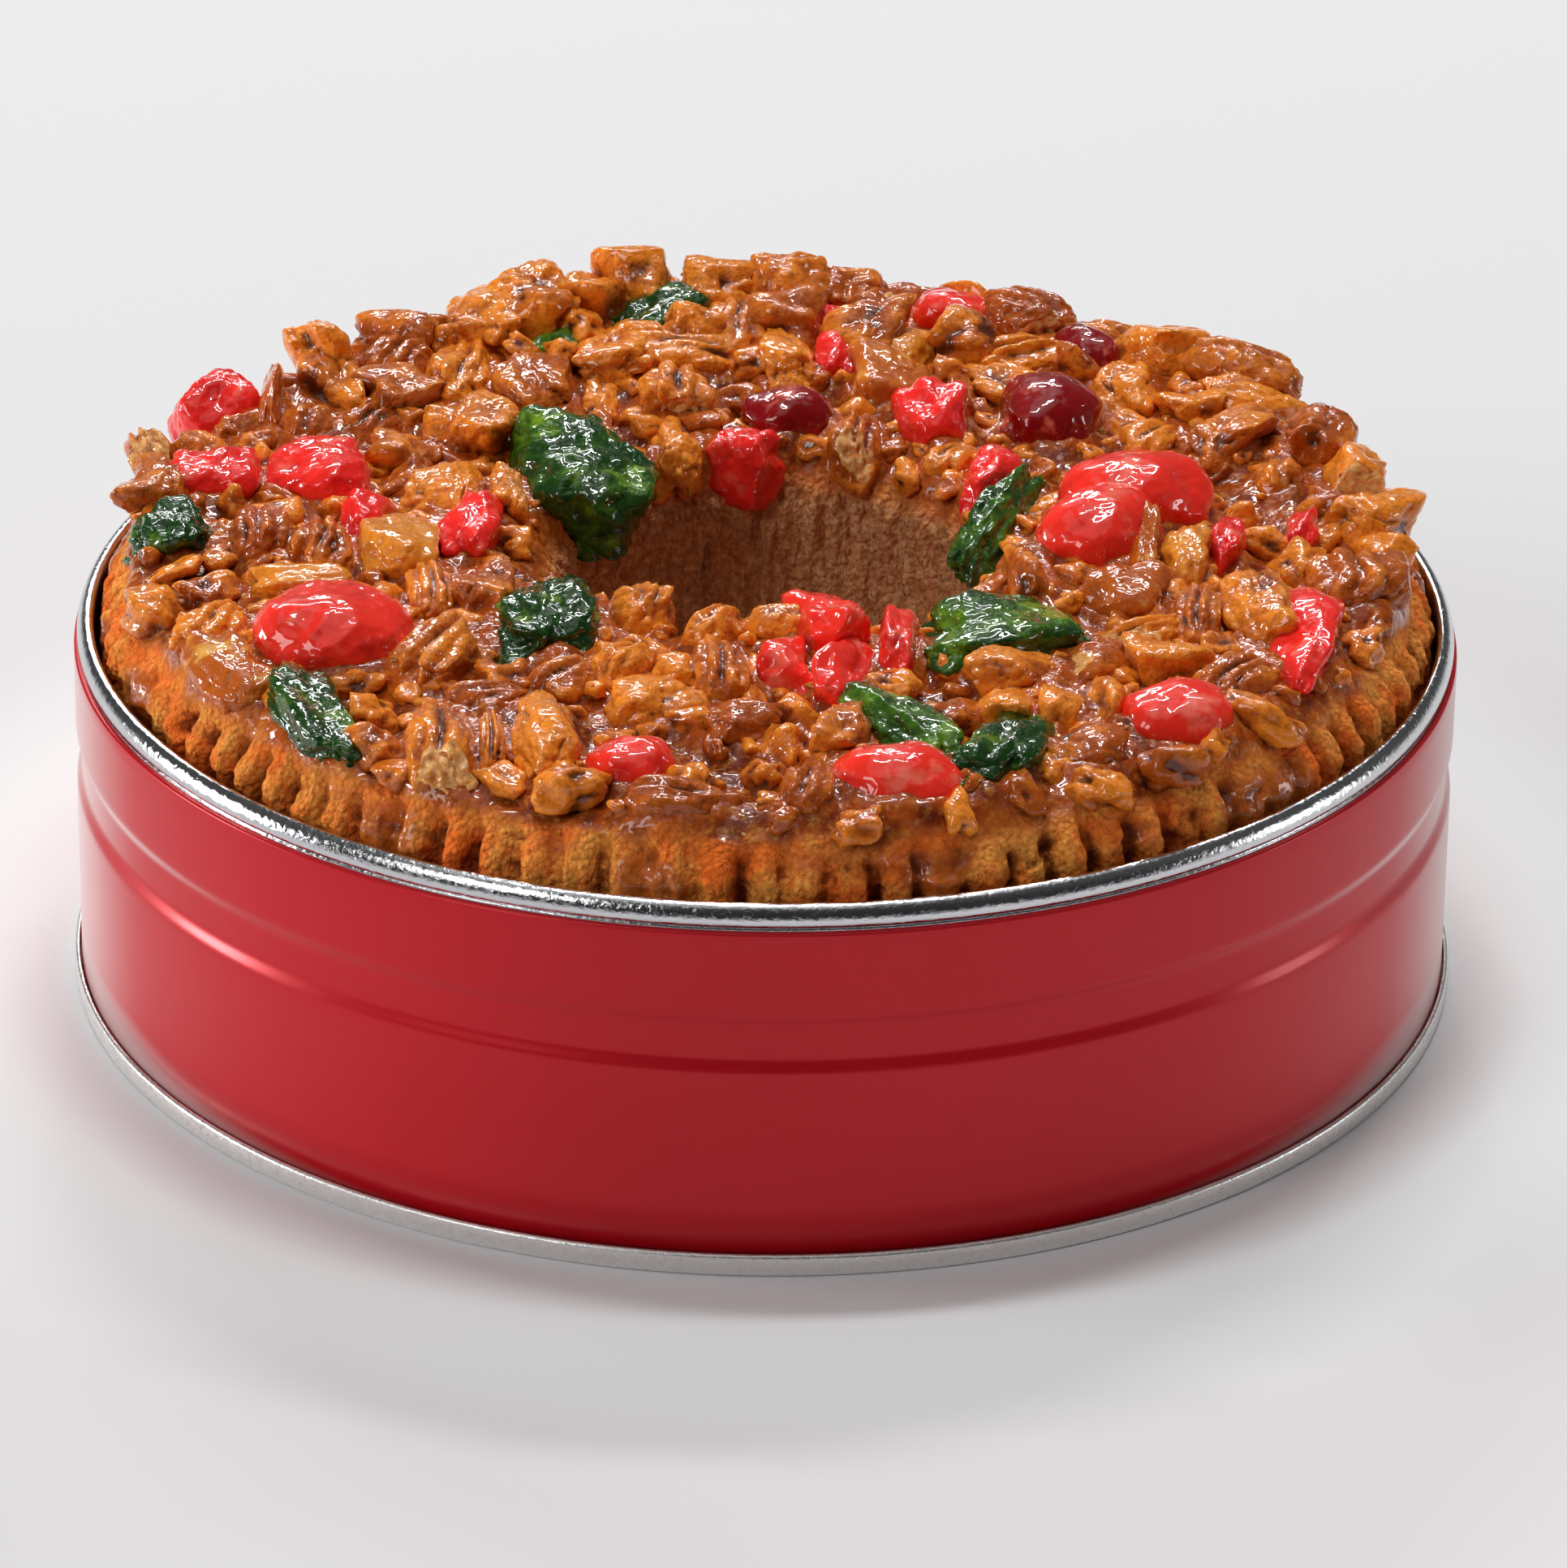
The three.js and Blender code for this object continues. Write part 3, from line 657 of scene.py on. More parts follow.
def specOf(kind, row, number):
    x, y, length, width, height, heading, lift, pitch, roll = (list(row) + [0, 0])[:9]
    return {
        "kind": kind, "number": number, "x": x, "y": y, "heading": math.radians(heading),
        "half": np.array([length, width, height]) / 2, "lift": lift,
        "pitch": math.radians(pitch), "roll": math.radians(roll),
    }


swelling = {"from": 45, "full": 65, "wider": 0.16, "leastHalf": (7, 5.6, 0)}


def swollen(spec):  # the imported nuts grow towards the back, to close the skyline
    far = float(smooth(np.array(spec["y"]), swelling["from"], swelling["full"]))
    wider = 1 + swelling["wider"] * far
    return np.maximum(spec["half"] * (wider, wider, 1), np.array(swelling["leastHalf"]) * far)


loose = [specOf(kind, row, i) for kind, some in rows.items() for i, row in enumerate(some)]
packed = [specOf("packed", row, i) for i, row in enumerate(packedRows)]
for spec in packed:
    spec["half"] = swollen(spec)


def gapTo(spec, x, y):  # about how far a place on the crumb is from a topping's outline
    c, s = math.cos(spec["heading"]), math.sin(spec["heading"])
    along = ((x - spec["x"]) * c + (y - spec["y"]) * s) / spec["half"][0]
    across = ((y - spec["y"]) * c - (x - spec["x"]) * s) / spec["half"][1]
    size = math.sqrt(spec["half"][0] * spec["half"][1])
    return (np.hypot(along, across) - 1) * size


def gapToAny(specs, x, y):
    nearest = np.full(np.shape(x), 1e3)
    for spec in specs:
        nearest = np.minimum(nearest, gapTo(spec, x, y))
    return nearest


# Forms of the toppings, on a ball whose x runs along the topping and z up

balls = {}


def ballOf(level):
    if level not in balls:
        made = bmesh.new()
        bmesh.ops.create_icosphere(made, subdivisions=level, radius=1)
        points = np.array([list(v.co) for v in made.verts])
        faces = np.array([[v.index for v in face.verts] for face in made.faces])
        made.free()
        balls[level] = points, faces
    return balls[level]


block = {"corners": 1.45, "cutNearest": 0.95, "cutFurthest": 1.15}  # how far out they may be


def softBlock(ball, random, sharpness, jitter, cuts):  # more sharpness gives crisper corners
    sides = np.concatenate([np.eye(3), -np.eye(3)])
    sides = sides + jitter * random.normal(size=sides.shape)
    extra = random.normal(size=(cuts, 3))
    sides = np.concatenate([sides, extra])
    sides /= np.linalg.norm(sides, axis=1)[:, None]
    room = np.concatenate([np.ones(6), random.uniform(block["cutNearest"], block["cutFurthest"], cuts)])
    reach = np.maximum(ball @ sides.T / room, 0)
    size = (reach ** sharpness).sum(1) ** (-1 / sharpness)
    return ball * np.minimum(size, block["corners"])[:, None]


fruitForms = {  # sharpness, jitter, cuts, lumps, creases and grain
    "cherry": (2.3, 0.06, 0, 0.12, 0.06, 0.02),
    "jelly": (5, 0.2, 3, 0.24, 0.12, 0.03),
    "red_candied": (5, 0.2, 3, 0.24, 0.1, 0.04),
    "green_candied": (4.5, 0.2, 3, 0.28, 0.22, 0.08),
    "amber_candied": (5, 0.18, 3, 0.22, 0.12, 0.05),
    "chip": (6, 0.3, 5, 0.4, 0.1, 0.08),
}
reliefSizes = {"lump": 0.8, "crease": 0.55, "grain": 0.16}


def fruitForm(ball, kind, random):
    sharpness, jitter, cuts, lump, crease, grain = fruitForms[kind]
    points = softBlock(ball, random, sharpness, jitter, cuts)
    seed = random.uniform(1, 50)
    relief = lump * ripple(points, reliefSizes["lump"], seed)
    relief -= crease * np.abs(ripple(points, reliefSizes["crease"], seed + 1))
    relief += grain * ripple(points, reliefSizes["grain"], seed + 2)
    return points * (1 + relief)[:, None], relief, np.zeros(len(points))


pecanForm = {
    "halves": 0.45,  # the share of the nuts that are halves with their groove on top
    "sharpness": 2.4,
    "jitter": 0.06,
    "upperFrom": -0.1,
    "upperFull": 0.5,
    "groove": 0.24,
    "grooveWidth": 0.13,
    "grooveSway": 0.2,
    "swaySize": 0.7,
    "furrow": 0.11,
    "furrowAt": 0.55,
    "furrowWidth": 0.12,
    "lump": 0.2, "lumpSize": 0.8,
    "crease": 0.12, "creaseSize": 0.45,
    "grain": 0.05, "grainSize": 0.16,
    "cracked": 0.6,
    "taper": 0.12,
}
brokenForm = {
    "sharpness": 4.5,
    "jitter": 0.24,
    "cuts": 5,
    "lump": 0.3, "lumpSize": 0.8,
    "crease": 0.12, "creaseSize": 0.5,
    "grain": 0.05, "grainSize": 0.18,
}
cracks = {"depth": 0.08, "size": 0.75, "width": 0.08}
warp = {"amount": 0.24, "forHalves": 0.5, "size": 1.1, "kept": 0.3}
breakRule = {
    "share": 0.4, "nearest": 0.5, "furthest": 0.8, "aslant": 0.35,
    "depth": 0.9, "ragged": 0.5, "raggedSize": 0.2, "blend": 0.1,
}


def warped(ball, seed, amount):  # pulls a ball out of shape
    shifts = [ripple(ball, warp["size"], seed + k) for k in (11, 12, 13)]
    pulled = ball + amount * np.stack(shifts, -1)
    beyond = np.maximum(np.abs(pulled) - 1, 0)
    return np.sign(pulled) * (np.abs(pulled) - (1 - warp["kept"]) * beyond)


def crackedAt(points, seed):  # narrow furrows between the lobes of a nut
    nearness = smooth(np.abs(ripple(points, cracks["size"], seed)), 0, cracks["width"])
    return cracks["depth"] * (1 - nearness)


def halfNut(ball, random, seed):  # a pecan half with its groove on top
    form = pecanForm
    points = softBlock(ball, random, form["sharpness"], form["jitter"], 0)
    x, y, z = points.T
    upper = smooth(z, form["upperFrom"], form["upperFull"])
    sway = y + form["grooveSway"] * ripple(points * (1, 0, 0), form["swaySize"], seed)
    groove = np.exp(-(sway / form["grooveWidth"]) ** 2)
    furrows = np.exp(-((np.abs(sway) - form["furrowAt"]) / form["furrowWidth"]) ** 2)
    creases = form["crease"] * np.abs(ripple(points, form["creaseSize"], seed + 3))
    relief = -form["groove"] * groove * upper * np.clip(1 - x ** 4, 0, 1)
    relief -= form["furrow"] * furrows * upper
    relief += form["lump"] * ripple(points, form["lumpSize"], seed + 2)
    relief -= creases + form["cracked"] * crackedAt(points, seed + 5)
    return points, relief + form["grain"] * ripple(points, form["grainSize"], seed + 4)


def brokenNut(ball, random, seed):
    form = brokenForm
    points = softBlock(ball, random, form["sharpness"], form["jitter"], form["cuts"])
    creases = form["crease"] * np.abs(ripple(points, form["creaseSize"], seed + 1))
    relief = form["lump"] * ripple(points, form["lumpSize"], seed)
    relief -= creases + crackedAt(points, seed + 5)
    return points, relief + form["grain"] * ripple(points, form["grainSize"], seed + 2)


def nutForm(ball, random):
    rule = breakRule
    seed = random.uniform(1, 50)
    whole = random.random() < pecanForm["halves"]
    points, relief = (halfNut if whole else brokenNut)(ball, random, seed)
    pull = warp["amount"] * (warp["forHalves"] if whole else 1)
    points = warped(points * (1 + relief)[:, None], seed, pull)
    broken = np.zeros(len(points))
    if random.random() < rule["share"]:  # one end is broken off
        lengthways = random.choice([-1, 1])
        aside = [random.normal(0, rule["aslant"]) for _ in range(2)]
        way = np.array([lengthways, *aside])
        way /= np.linalg.norm(way)
        beyond = np.maximum(points @ way - random.uniform(rule["nearest"], rule["furthest"]), 0)
        cut = rule["depth"] + rule["ragged"] * ripple(points, rule["raggedSize"], seed)
        points = points - beyond[:, None] * way * cut[:, None]
        broken = smooth(beyond, 0.0, rule["blend"])
    taper = 1 - pecanForm["taper"] * points[:, :1]
    return points * np.concatenate([np.ones_like(taper), taper, taper], 1), relief, broken


heights = {"bendFrom": 72, "most": 75.6}  # the nuts stay under the part's own height
sunkMost = 1.5  # how deep a topping goes into the crumb


def setDown(points, spec):  # turns a topping into its place and beds it in the crumb
    normal = facingAt(spec["x"], spec["y"])
    along = Vector((math.cos(spec["heading"]), math.sin(spec["heading"]), 0))
    across = normal.cross(along).normalized()
    along = across.cross(normal)
    tip = Quaternion((0, 1, 0), -spec["pitch"]) @ Quaternion((1, 0, 0), spec["roll"])
    basis = np.array([along, across, normal]).T @ np.array(tip.to_matrix())
    foot = np.array([spec["x"], spec["y"], float(groundAt(spec["x"], spec["y"]))])
    placed = (points * spec["half"]) @ basis.T + foot + np.array(normal) * spec["lift"]
    ground = groundAt(placed[:, 0], placed[:, 1])
    above = placed[:, 2] - ground
    sunk = -sunkMost * (1 - np.exp(above / sunkMost))
    placed[:, 2] = ground + np.where(above < 0, sunk, above)
    over = np.maximum(placed[:, 2] - heights["bendFrom"], 0)
    room = heights["most"] - heights["bendFrom"]
    placed[:, 2] += room * np.tanh(over / room) - over
    return placed, above


jellyFrom = 10  # the cherries from here on are squashed and torn
darkCherries = (3, 4, 9)
darkWarmth = -0.2
warmthOf = {"cherry": (0.9, 1.2), "red_candied": (0.7, 1.2), "green_candied": (0.0, 0.7)}
otherWarmth = (-0.2, 1.3)
# painted shading on the toppings: hollows and the parts bedded in the crumb are darkened, raised parts
# lightened
paintedShadingRule = {"level": 0.6, "contrast": 2.8, "buried": 0.15, "buriedTo": -0.5, "openFrom": 3.6}


def toppingMesh(spec, level):
    ball, faces = ballOf(level)
    kind = spec["kind"]
    random = np.random.default_rng([spec["number"], sum(map(ord, kind))])
    if kind in ("pecan", "packed"):
        points, relief, broken = nutForm(ball, random)
    else:
        jelly = kind == "cherry" and spec["number"] >= jellyFrom
        points, relief, broken = fruitForm(ball, "jelly" if jelly else kind, random)
    placed, above = setDown(points, spec)
    # painted shade and light: low in hollows and close to the crumb, high on raised, open parts
    paintedShading = np.clip(paintedShadingRule["level"] + paintedShadingRule["contrast"] * (relief - relief.mean()), 0, 1)
    clear = (1 - paintedShadingRule["buried"]) * smooth(above, paintedShadingRule["buriedTo"], paintedShadingRule["openFrom"])
    paintedShading = paintedShading * (paintedShadingRule["buried"] + clear)
    dark = kind == "cherry" and spec["number"] in darkCherries
    warmth = darkWarmth if dark else random.uniform(*warmthOf.get(kind, otherWarmth))
    shades = {"paintedShading": paintedShading, "broken": broken, "warmth": np.full(len(placed), warmth)}
    return placed, faces, shades


def joined(parts):
    points = np.concatenate([part[0] for part in parts])
    starts = np.cumsum([0] + [len(part[0]) for part in parts[:-1]])
    faces = np.concatenate([part[1] + start for part, start in zip(parts, starts)])
    shades = {key: np.concatenate([part[2][key] for part in parts]) for key in parts[0][2]}
    return points, faces, shades


slotOf = {
    "cherry": "cherry", "red_candied": "cherry", "green_candied": "green_fruit",
    "amber_candied": "amber_fruit", "pecan": "nut",
}
toppingDetail = {"usual": 5, "largest": 6, "largestFrom": 21, "small": 4, "smallTo": 14}


def makeLoose():
    for spec in loose:
        kind = spec["kind"]
        node = f"{kind}_{spec['number'] + 1:02d}"
        great = kind == "cherry" and 2 * spec["half"][0] > toppingDetail["largestFrom"]
        level = toppingDetail["largest"] if great else toppingDetail["usual"]
        points, faces, shades = toppingMesh(spec, level)
        finish = finishes["nut" if kind == "pecan" else kind]
        makePiece("glazed_" + node, points, faces, [finish], slotOf[kind], [node], shades)


backFrom = 20


def makePacked():
    halves = {"front": [], "back": []}
    for spec in packed:
        small = 2 * spec["half"][0] <= toppingDetail["smallTo"]
        level = toppingDetail["small"] if small else toppingDetail["usual"]
        halves["back" if spec["y"] > backFrom else "front"].append(toppingMesh(spec, level))
    for side, parts in halves.items():
        points, faces, shades = joined(parts)
        name = "packed_pecans_" + side
        makePiece(name, points, faces, [finishes["nut"]], "nut", ["cake_ring"], shades)


crumbRelief = {
    "crumble": 0.9, "crumbleSize": 1.8, "fine": 0.6, "fineSize": 1.0,
    "lump": 1.6, "lumpSize": 8, "knob": 0.8, "knobSize": 3.4,
    "buried": 1.6, "buriedSize": 9,
    "rise": 0.34, "riseMost": 3.8, "riseTogether": 0.5, "riseWidth": 3.0,
    "flute": 2.1, "fluteFrom": 0.45, "fluteFull": 0.92,
    "patchLeast": 0.5, "patchMore": 0.9, "patchSize": 11, "patchFrom": -0.45, "patchFull": 0.3,
    "pit": 1.2, "pitSize": 4.5, "pitFrom": 0.18, "pitFull": 0.4,
    "runSize": 12, "runFrom": 0.12, "runFull": 0.3, "runAndShadeInFront": 0.18, "runEvens": 0.5,
}


def glazeRise(x, y):  # the glaze climbs up round everything that lies on the cake
    look = crumbRelief
    total = np.zeros(x.shape)
    for spec in loose + packed:
        high = min(look["rise"] * 2 * spec["half"][2], look["riseMost"])
        climb = np.exp(-np.maximum(gapTo(spec, x, y), 0) / look["riseWidth"])
        total += (high * climb) ** 2
    return np.minimum(np.sqrt(total), look["riseMost"] + look["riseTogether"])


# Broken nut in the gaps

chipRule = {
    "seed": 2512,
    "tries": 9000,
    "inner": 34,
    "outer": 90,
    "smallest": 2.4,
    "largest": 6.5,
    "growth": 1.6,  # with the room round it
    "uneven": (0.8, 1.15),
    "longest": 1.5,
    "flattest": 0.7,
    "clear": 0.2,
    "room": 0.66,
    "lift": 0.2,
    "raised": 0.65,
    "tilt": 25,
    "fine": 3,
    "coarse": 4,
    "coarseFrom": 5.2,
    "far": (48, 70),  # from here they close the skyline at the back
    "farLarger": 0.8,
    "farHigher": 3,
}


def scatterChips():
    rule = chipRule
    random = np.random.default_rng(rule["seed"])
    chips = []
    spots = []
    for _ in range(rule["tries"]):
        angle = random.uniform(0, 2 * math.pi)
        r = math.sqrt(random.uniform(rule["inner"] ** 2, rule["outer"] ** 2))
        x, y = r * math.cos(angle), r * math.sin(angle)
        gap = float(gapToAny(loose + packed, x, y))
        far = float(smooth(np.array(y), *rule["far"]))
        size = min(rule["smallest"] + rule["growth"] * gap, rule["largest"])
        size *= random.uniform(*rule["uneven"])
        size *= 1 + rule["farLarger"] * far
        if gap < rule["clear"]:
            continue
        if any(math.hypot(x - a, y - b) < rule["room"] * (size + other) for a, b, other in spots):
            continue
        spots.append((x, y, size))
        length = size * random.uniform(1, rule["longest"])
        height = size * random.uniform(rule["flattest"], 1)
        heading = random.uniform(0, 360)
        lift = size * random.uniform(0.0, rule["lift"])
        glaze = float(glazeRise(np.array([x]), np.array([y]))[0])
        lift += glaze * rule["raised"] + rule["farHigher"] * far
        tilts = [random.uniform(-rule["tilt"], rule["tilt"]) for _ in range(2)]
        row = [x, y, length, size, height, heading, lift, *tilts]
        chips.append(specOf("chip", row, len(chips)))
    return chips


chips = scatterChips()
print("chips of nut:", len(chips))


def makeChips():
    parts = []
    for spec in chips:
        coarse = 2 * spec["half"][1] >= chipRule["coarseFrom"]
        parts.append(toppingMesh(spec, chipRule["coarse"] if coarse else chipRule["fine"]))
    points, faces, shades = joined(parts)
    makePiece("nut_chips", points, faces, [finishes["nut"]], "nut", ["cake_ring"], shades)


# The crumb

crumbDetail = {
    "around": 768,
    "hidden": [3.3, 20, 38, 47],  # heights inside the tin
    "sideFrom": 51,
    "sideSteps": 10,
    "shoulderSteps": 22,
    "topSteps": 50,
    "edgeSteps": 9,
    "holeSteps": 18,
    "bottomSteps": 2,
}


def crumbStations():  # radius, height, lean of the surface in degrees, share of the hole's centre
    d = crumbDetail
    c = cake
    inner = c["holeRadius"] + c["holeEdgeWidth"]
    outer = c["radius"] - c["shoulderWidth"]
    stations = []
    shown = np.linspace(d["sideFrom"], c["top"] - c["shoulderDrop"], d["sideSteps"])
    for z in list(d["hidden"]) + list(shown):
        stations.append([c["radius"], z, 0, 0])
    for lean in np.linspace(0, 90, d["shoulderSteps"] + 1)[1:]:
        a = math.radians(lean)
        r = c["radius"] - c["shoulderWidth"] * (1 - math.cos(a))
        stations.append([r, c["top"] - c["shoulderDrop"] * (1 - math.sin(a)), lean, 0])
    for share in np.linspace(0, 1, d["topSteps"] + 1)[1:]:
        stations.append([outer + (inner - outer) * share, c["top"], 90, share])
    for lean in np.linspace(90, 180, d["edgeSteps"] + 1)[1:]:
        a = math.radians(lean)
        r = c["holeRadius"] + c["holeEdgeWidth"] * (1 + math.cos(a))
        stations.append([r, c["top"] - c["holeEdgeDrop"] * (1 - math.sin(a)), lean, 1])
    for z in np.linspace(c["top"] - c["holeEdgeDrop"], c["bottom"], d["holeSteps"] + 1)[1:]:
        spread = c["holeSpread"] * (c["top"] - c["holeEdgeDrop"] - z) / (c["top"] - c["bottom"])
        stations.append([c["holeRadius"] + spread, z, 180, 1])
    low = stations[-1][0]
    for share in np.linspace(0, 1, d["bottomSteps"] + 2)[1:-1]:
        stations.append([low + (c["radius"] - low) * share, c["bottom"], 270, 1 - share])
    return np.array(stations)


leans = {  # degrees, between which the side, the top and the hole take over from each other
    "sideEnds": (25, 62),
    "topStarts": (35, 75),
    "topEnds": (105, 150),
    "holeStarts": (115, 165),
    "holeLightStarts": (120, 165),
    "glazeStarts": (42, 66),
    "glazeEnds": (110, 150),
    "glazeSway": 14,
    "underneath": 200,
}
squeezed = {"crumble": (1, 1, 0.55), "patch": (1, 1, 0.6), "run": (1, 1, 0.35)}  # taller than wide
frontRunsAndShade = (60, 92)  # more glaze has run down the front, and this extra glaze also darkens the front side as painted shade
pools = {"width": 1.5, "size": 4, "edgeSize": 5}


def crumbShades(points, lean, top, run, gap):  # where the crumb is glazed and pooled, and where the hole's crumb is made paler as painted light
    shape = run.shape
    sway = leans["glazeSway"] * ripple(points, pools["edgeSize"], 6).reshape(shape)
    glaze = smooth(lean + sway, *leans["glazeStarts"]) * (1 - smooth(lean, *leans["glazeEnds"]))
    near = np.maximum(top * np.exp(-np.maximum(gap, 0) / pools["width"]), run)
    drops = np.clip(0.5 + ripple(points, pools["size"], 9).reshape(shape), 0, 1)
    paintedHoleLight = smooth(lean, *leans["holeLightStarts"]) * np.ones(shape)
    return {
        "glaze": np.maximum(glaze, 0.8 * run).ravel(),
        "pooled": (near * drops).ravel(),
        "hole": paintedHoleLight.ravel(),
    }


def makeCrumb():
    look = crumbRelief
    stations = crumbStations()
    count = crumbDetail["around"]
    angle = np.linspace(0, 2 * math.pi, count, endpoint=False)[None, :]
    r, z, lean, share = [column[:, None] for column in stations.T]
    out = np.cos(np.radians(lean)) * np.ones_like(angle)
    up = np.sin(np.radians(lean)) * np.ones_like(angle)
    x = cake["holeCentreX"] * share + r * np.cos(angle)
    y = r * np.sin(angle)
    z = z * np.ones_like(angle)
    points = np.stack([x, y, z], -1).reshape(-1, 3)

    def rippled(size, seed, squeeze=(1, 1, 1)):
        return ripple(points * squeeze, size, seed).reshape(x.shape)

    side = 1 - smooth(lean, *leans["sideEnds"])
    top = smooth(lean, *leans["topStarts"]) * (1 - smooth(lean, *leans["topEnds"]))
    hole = smooth(lean, *leans["holeStarts"]) * (lean < leans["underneath"])
    crumble = look["crumble"] * rippled(look["crumbleSize"], 1, squeezed["crumble"])
    crumble += look["fine"] * rippled(look["fineSize"], 2)
    lump = look["lump"] * rippled(look["lumpSize"], 3)
    knob = look["knob"] * rippled(look["knobSize"], 4)
    buried = np.array([noise.voronoi(p)[0][0] for p in (points / look["buriedSize"]).tolist()])
    buried = look["buried"] * (0.5 - buried.reshape(x.shape))
    patch = smooth(rippled(look["patchSize"], 5, squeezed["patch"]), look["patchFrom"], look["patchFull"])
    patch = look["patchLeast"] + look["patchMore"] * patch
    run = rippled(look["runSize"], 10, squeezed["run"])
    # painted shade: extra glaze darkens the front of the cake
    run = run + look["runAndShadeInFront"] * smooth(-y, *frontRunsAndShade)
    run = smooth(run, look["runFrom"], look["runFull"]) * side
    flute = -look["flute"] * smooth(fluteWave(angle), look["fluteFrom"], look["fluteFull"])
    flute = flute * patch * (1 - look["runEvens"] * run)
    pit = -look["pit"] * smooth(rippled(look["pitSize"], 8), look["pitFrom"], look["pitFull"])
    crumble *= 1 - look["runEvens"] * run

    relief = side * (flute + 0.7 * (crumble + pit) + 0.3 * lump)
    relief += top * (0.7 * lump + knob + buried + 0.35 * crumble)
    relief += hole * (2.0 * crumble + 0.6 * knob)
    relief = np.where(lean > leans["underneath"], 0, relief + top * glazeRise(x, y))
    points = points + (relief * out * np.cos(angle)).reshape(-1, 1) * (1, 0, 0)
    points = points + (relief * out * np.sin(angle)).reshape(-1, 1) * (0, 1, 0)
    points = points + (relief * up).reshape(-1, 1) * (0, 0, 1)

    # painted shade on the crumb: low in the flute valleys, pits and crevices, where the colour is
    # darkened
    paintedShading = 0.8 + side * (0.24 * flute + 0.35 * (crumble + pit))
    paintedShading += 0.35 * (top * (knob + 0.5 * lump) + hole * crumble)
    shades = {"paintedShading": np.clip(paintedShading, 0, 1).ravel()}
    shades.update(crumbShades(points, lean, top, run, gapToAny(loose + packed, x, y)))
    faces = gridFaces(len(stations), count)
    makePiece("crumb_ring", points, faces, [finishes["crumb"]], "crumb", ["cake_ring"], shades)


# The tin

tin = {
    "wallRadius": 100,
    "height": 55.5,
    "sheet": 0.4,
    "rimRadius": 99.5,
    "rimWidth": 2.5,
    "rimHeight": 3.5,
    "neckDepth": 0.9,
    "neckHeight": 0.15,
    "bendHeight": 0.4,
    "beadDepth": 0.8,
    "beadBottom": 30.3,
    "beadTop": 39.8,
    "beadFlank": 2.6,
    "beadSteps": 25,
    "plainLevels": (10, 20),
    "ringGap": 1,
    "clearance": 0.3,
    "around": 360,
}
base = {
    "panelHeight": 2.6,
    "panelEdge": 6,
    "seamHeight": 3.2,
    "seamProud": 1,
    "seamRound": 0.5,
    "footWidth": 1.1,
    "footSlope": (0.3, 0.2),
    "middle": 0.2,
}

curl = [  # the rolled edge in shares of its half width and half height, from below round the outside
    [0.3, -0.95], [0.65, -0.85], [0.89, -0.65], [1, -0.38], [1, -0.18], [0.96, 0], [0.87, 0.2],
    [0.75, 0.41], [0.59, 0.6], [0.4, 0.77], [0.17, 0.9], [-0.09, 0.97], [-0.35, 1], [-0.61, 0.95],
    [-0.83, 0.82], [-0.96, 0.59], [-1, 0.3], [-1, -0.3], [-0.91, -0.65], [-0.61, -0.91],
]
neckBend = [(0.03, 0.3), (0.12, 0.6), (0.35, 0.85), (1, 1)]  # shares of the neck's depth and height
quarterTurn = (0, 30, 60, 90)


def wallDip(z):  # how far the pressed band lies in at a height
    rise = smooth(z, tin["beadBottom"], tin["beadBottom"] + tin["beadFlank"])
    return tin["beadDepth"] * rise * (1 - smooth(z, tin["beadTop"] - tin["beadFlank"], tin["beadTop"]))


def wallOutline():
    foot = base["seamRound"] + 2 * tin["clearance"]
    neckTop = tin["height"] - tin["rimHeight"] - tin["neckHeight"]
    neckBottom = neckTop - tin["bendHeight"]
    low = [foot, *tin["plainLevels"], tin["beadBottom"] - tin["ringGap"]]
    band = list(np.linspace(tin["beadBottom"], tin["beadTop"], tin["beadSteps"]))
    high = [tin["beadTop"] + tin["ringGap"], neckBottom - 2 * tin["ringGap"], neckBottom]
    levels = np.array(low + band + high)
    outside = np.stack([tin["wallRadius"] - wallDip(levels), levels], 1)
    bend = [[tin["wallRadius"] - tin["neckDepth"] * inward, neckBottom + tin["bendHeight"] * upward]
            for inward, upward in neckBend]
    middle = tin["rimRadius"] - tin["rimWidth"] / 2
    rim = np.array(curl) * (tin["rimWidth"] / 2, tin["rimHeight"] / 2)
    rim += (middle, tin["height"] - tin["rimHeight"] / 2)
    inside = outside[::-1] - (tin["sheet"], 0)
    outline = np.concatenate([outside, bend, rim, inside])
    lacquered = len(outside) + len(bend) - 1
    return outline, lacquered


def seamRounding(outside, middle, way, angles):  # a quarter of a turn, up or down from its middle
    size = base["seamRound"]
    turns = [math.radians(angle) for angle in angles]
    return [[outside - size * (1 - math.cos(a)), middle + way * size * math.sin(a)] for a in turns]


def baseOutline():
    inside = tin["wallRadius"] - tin["sheet"] - tin["clearance"]
    outside = tin["wallRadius"] + base["seamProud"]
    slot = tin["wallRadius"] + tin["clearance"]
    foot = outside - base["seamRound"] - base["footWidth"]
    slopeWidth, slopeHeight = base["footSlope"]
    return np.array([
        [base["middle"], base["panelHeight"]],
        [inside - base["panelEdge"], base["panelHeight"]],
        [inside - tin["sheet"], base["panelHeight"]],
        [foot - slopeWidth, slopeHeight],
        [foot, 0],
        *seamRounding(outside, base["seamRound"], -1, quarterTurn[::-1]),
        *seamRounding(outside, base["seamHeight"] - base["seamRound"], 1, quarterTurn),
        [slot, base["seamHeight"]],
        [slot, base["seamRound"] + tin["clearance"]],
        [inside, base["seamRound"] + tin["clearance"]],
        [inside, base["panelHeight"] + tin["sheet"]],
        [base["middle"], base["panelHeight"] + tin["sheet"]],
    ])


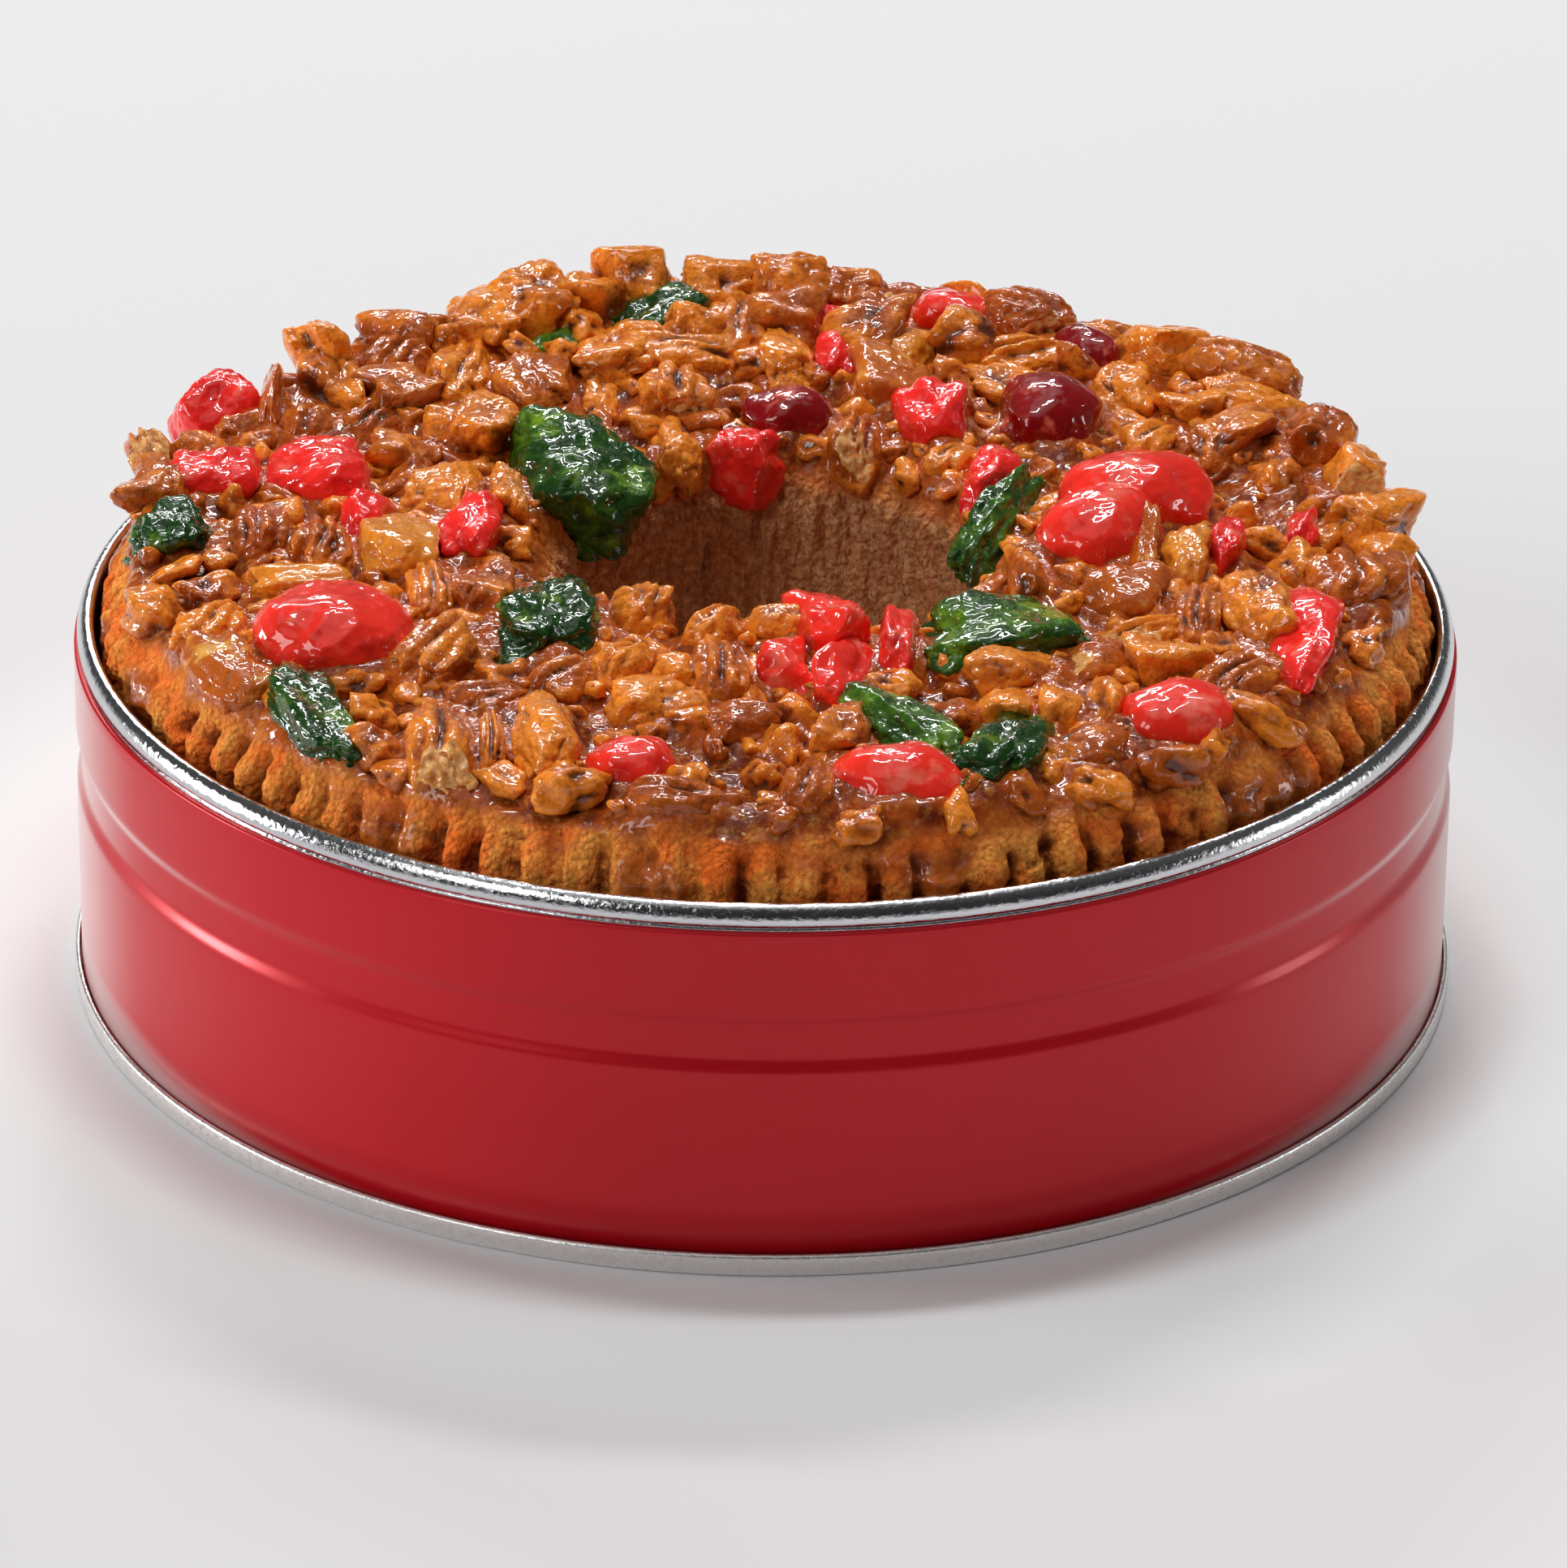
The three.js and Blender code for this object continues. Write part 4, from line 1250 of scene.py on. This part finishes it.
def spun(outline):
    angle = np.linspace(0, 2 * math.pi, tin["around"], endpoint=False)[None, :]
    r, z = outline[:, :1], outline[:, 1:]
    points = np.stack([r * np.cos(angle), r * np.sin(angle), z + 0 * angle], -1).reshape(-1, 3)
    return points, gridFaces(len(outline), tin["around"])


def makeTin():
    outline, lacquered = wallOutline()
    points, faces = spun(outline)
    lookOf = np.where(np.arange(len(faces)) // tin["around"] < lacquered, 0, 1)
    looks = [finishes["lacquer"], finishes["tinplate"]]
    makePiece("tin_side", points, faces, looks, "lacquer", ["tin_wall"], lookOf=lookOf)
    points, faces = spun(baseOutline())
    makePiece("tin_bottom", points, faces, [finishes["seam"]], "tinplate", ["tin_base"])


makeTin()
print("tin made")
makeCrumb()
print("crumb made")
makeLoose()
print("loose toppings made")
makePacked()
makeChips()
print("nuts made")
triangles = {o.name: sum(len(p.vertices) - 2 for p in o.data.polygons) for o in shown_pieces()}
print("triangles:", sum(triangles.values()), "largest:", max(triangles.values()))


# Floor, lights and camera

stageLook = {
    "width": 3,
    "depth": 3,
    "tint": (1.0, 1.0, 1.0, 1),
    "front": 0.035,
    "back": 0.08,
    "backwards": (0, 1, 0.9),  # the room grows brighter this way, between these two turns
    "turns": (-0.45, 0.45),
}


def makeStage():
    w, d = stageLook["width"] / mm / 2, stageLook["depth"] / mm / 2
    corners = np.array([[-w, -d, 0], [w, -d, 0], [w, d, 0], [-w, d, 0]])
    floor = makePiece("floor", corners, np.array([[0, 1, 2, 3]]), [floorFinish()])
    room = Sheet(bpy.data.worlds.new("room"))
    bpy.context.scene.world = room.owner
    towards = room.node("TexCoord", {}, {}, "Generated")
    sockets = {0: towards, 1: stageLook["backwards"]}
    turned = room.node("VectorMath", {"operation": "DOT_PRODUCT"}, sockets, "Value")
    strength = turned.within(*stageLook["turns"], stageLook["front"], stageLook["back"])
    light = room.node("Background", {}, {"Color": stageLook["tint"], "Strength": strength})
    room.node("OutputWorld", {}, {"Surface": light})


softboxes = {  # place, width and height in metres, watts
    "key": ((-0.6, 2.8, 1.7), 1.2, 0.2, 26),
    "above": ((-0.2, 0.1, 4.0), 4.4, 3.6, 27),
    "left": ((-3.0, 0.3, 0.35), 0.8, 0.6, 46),
    "right": ((3.0, 0.1, 0.35), 0.8, 0.6, 11),
    "panel": ((-2.2, -2.0, 1.9), 1.2, 1.2, 26),
    "glint": ((0.4, 2.3, 2.7), 1.2, 0.22, 34),
    "strip": ((-0.1, 0.7, 3.4), 1.2, 0.2, 37),
}


def makeLights():
    for name, (place, width, height, watts) in softboxes.items():
        data = bpy.data.lights.new(name, "AREA")
        data.shape = "RECTANGLE"
        data.size = width
        data.size_y = height
        data.energy = watts
        light = bpy.data.objects.new(name, data)
        bpy.context.scene.collection.objects.link(light)
        light.location = place
        light.rotation_mode = "QUATERNION"
        light.rotation_quaternion = (-Vector(place)).to_track_quat("-Z", "Y")


cameraView = {  # millimetres and degrees
    "elevation": 25.598,
    "distance": 1193.8,
    "aimX": 2.87,
    "aimZ": 26.34,
    "tilt": 0.773,  # turns the picture a little clockwise
    "lens": 187.37,
    "sensor": 36,
}


def makeCamera():
    view = cameraView
    data = bpy.data.cameras.new("camera")
    data.lens = view["lens"]
    data.sensor_width = view["sensor"]
    camera = bpy.data.objects.new("camera", data)
    bpy.context.scene.collection.objects.link(camera)
    bpy.context.scene.camera = camera
    rise = math.radians(view["elevation"])
    back = Vector((0, -math.cos(rise), math.sin(rise)))
    camera.location = (Vector((view["aimX"], 0, view["aimZ"])) + back * view["distance"]) * mm
    camera.rotation_mode = "QUATERNION"
    roll = Quaternion((0, 0, 1), math.radians(view["tilt"]))
    camera.rotation_quaternion = (-back).to_track_quat("-Z", "Y") @ roll


makeStage()
makeLights()
makeCamera()
scene = bpy.context.scene
scene.view_settings.view_transform = "Standard"
print("stage made")
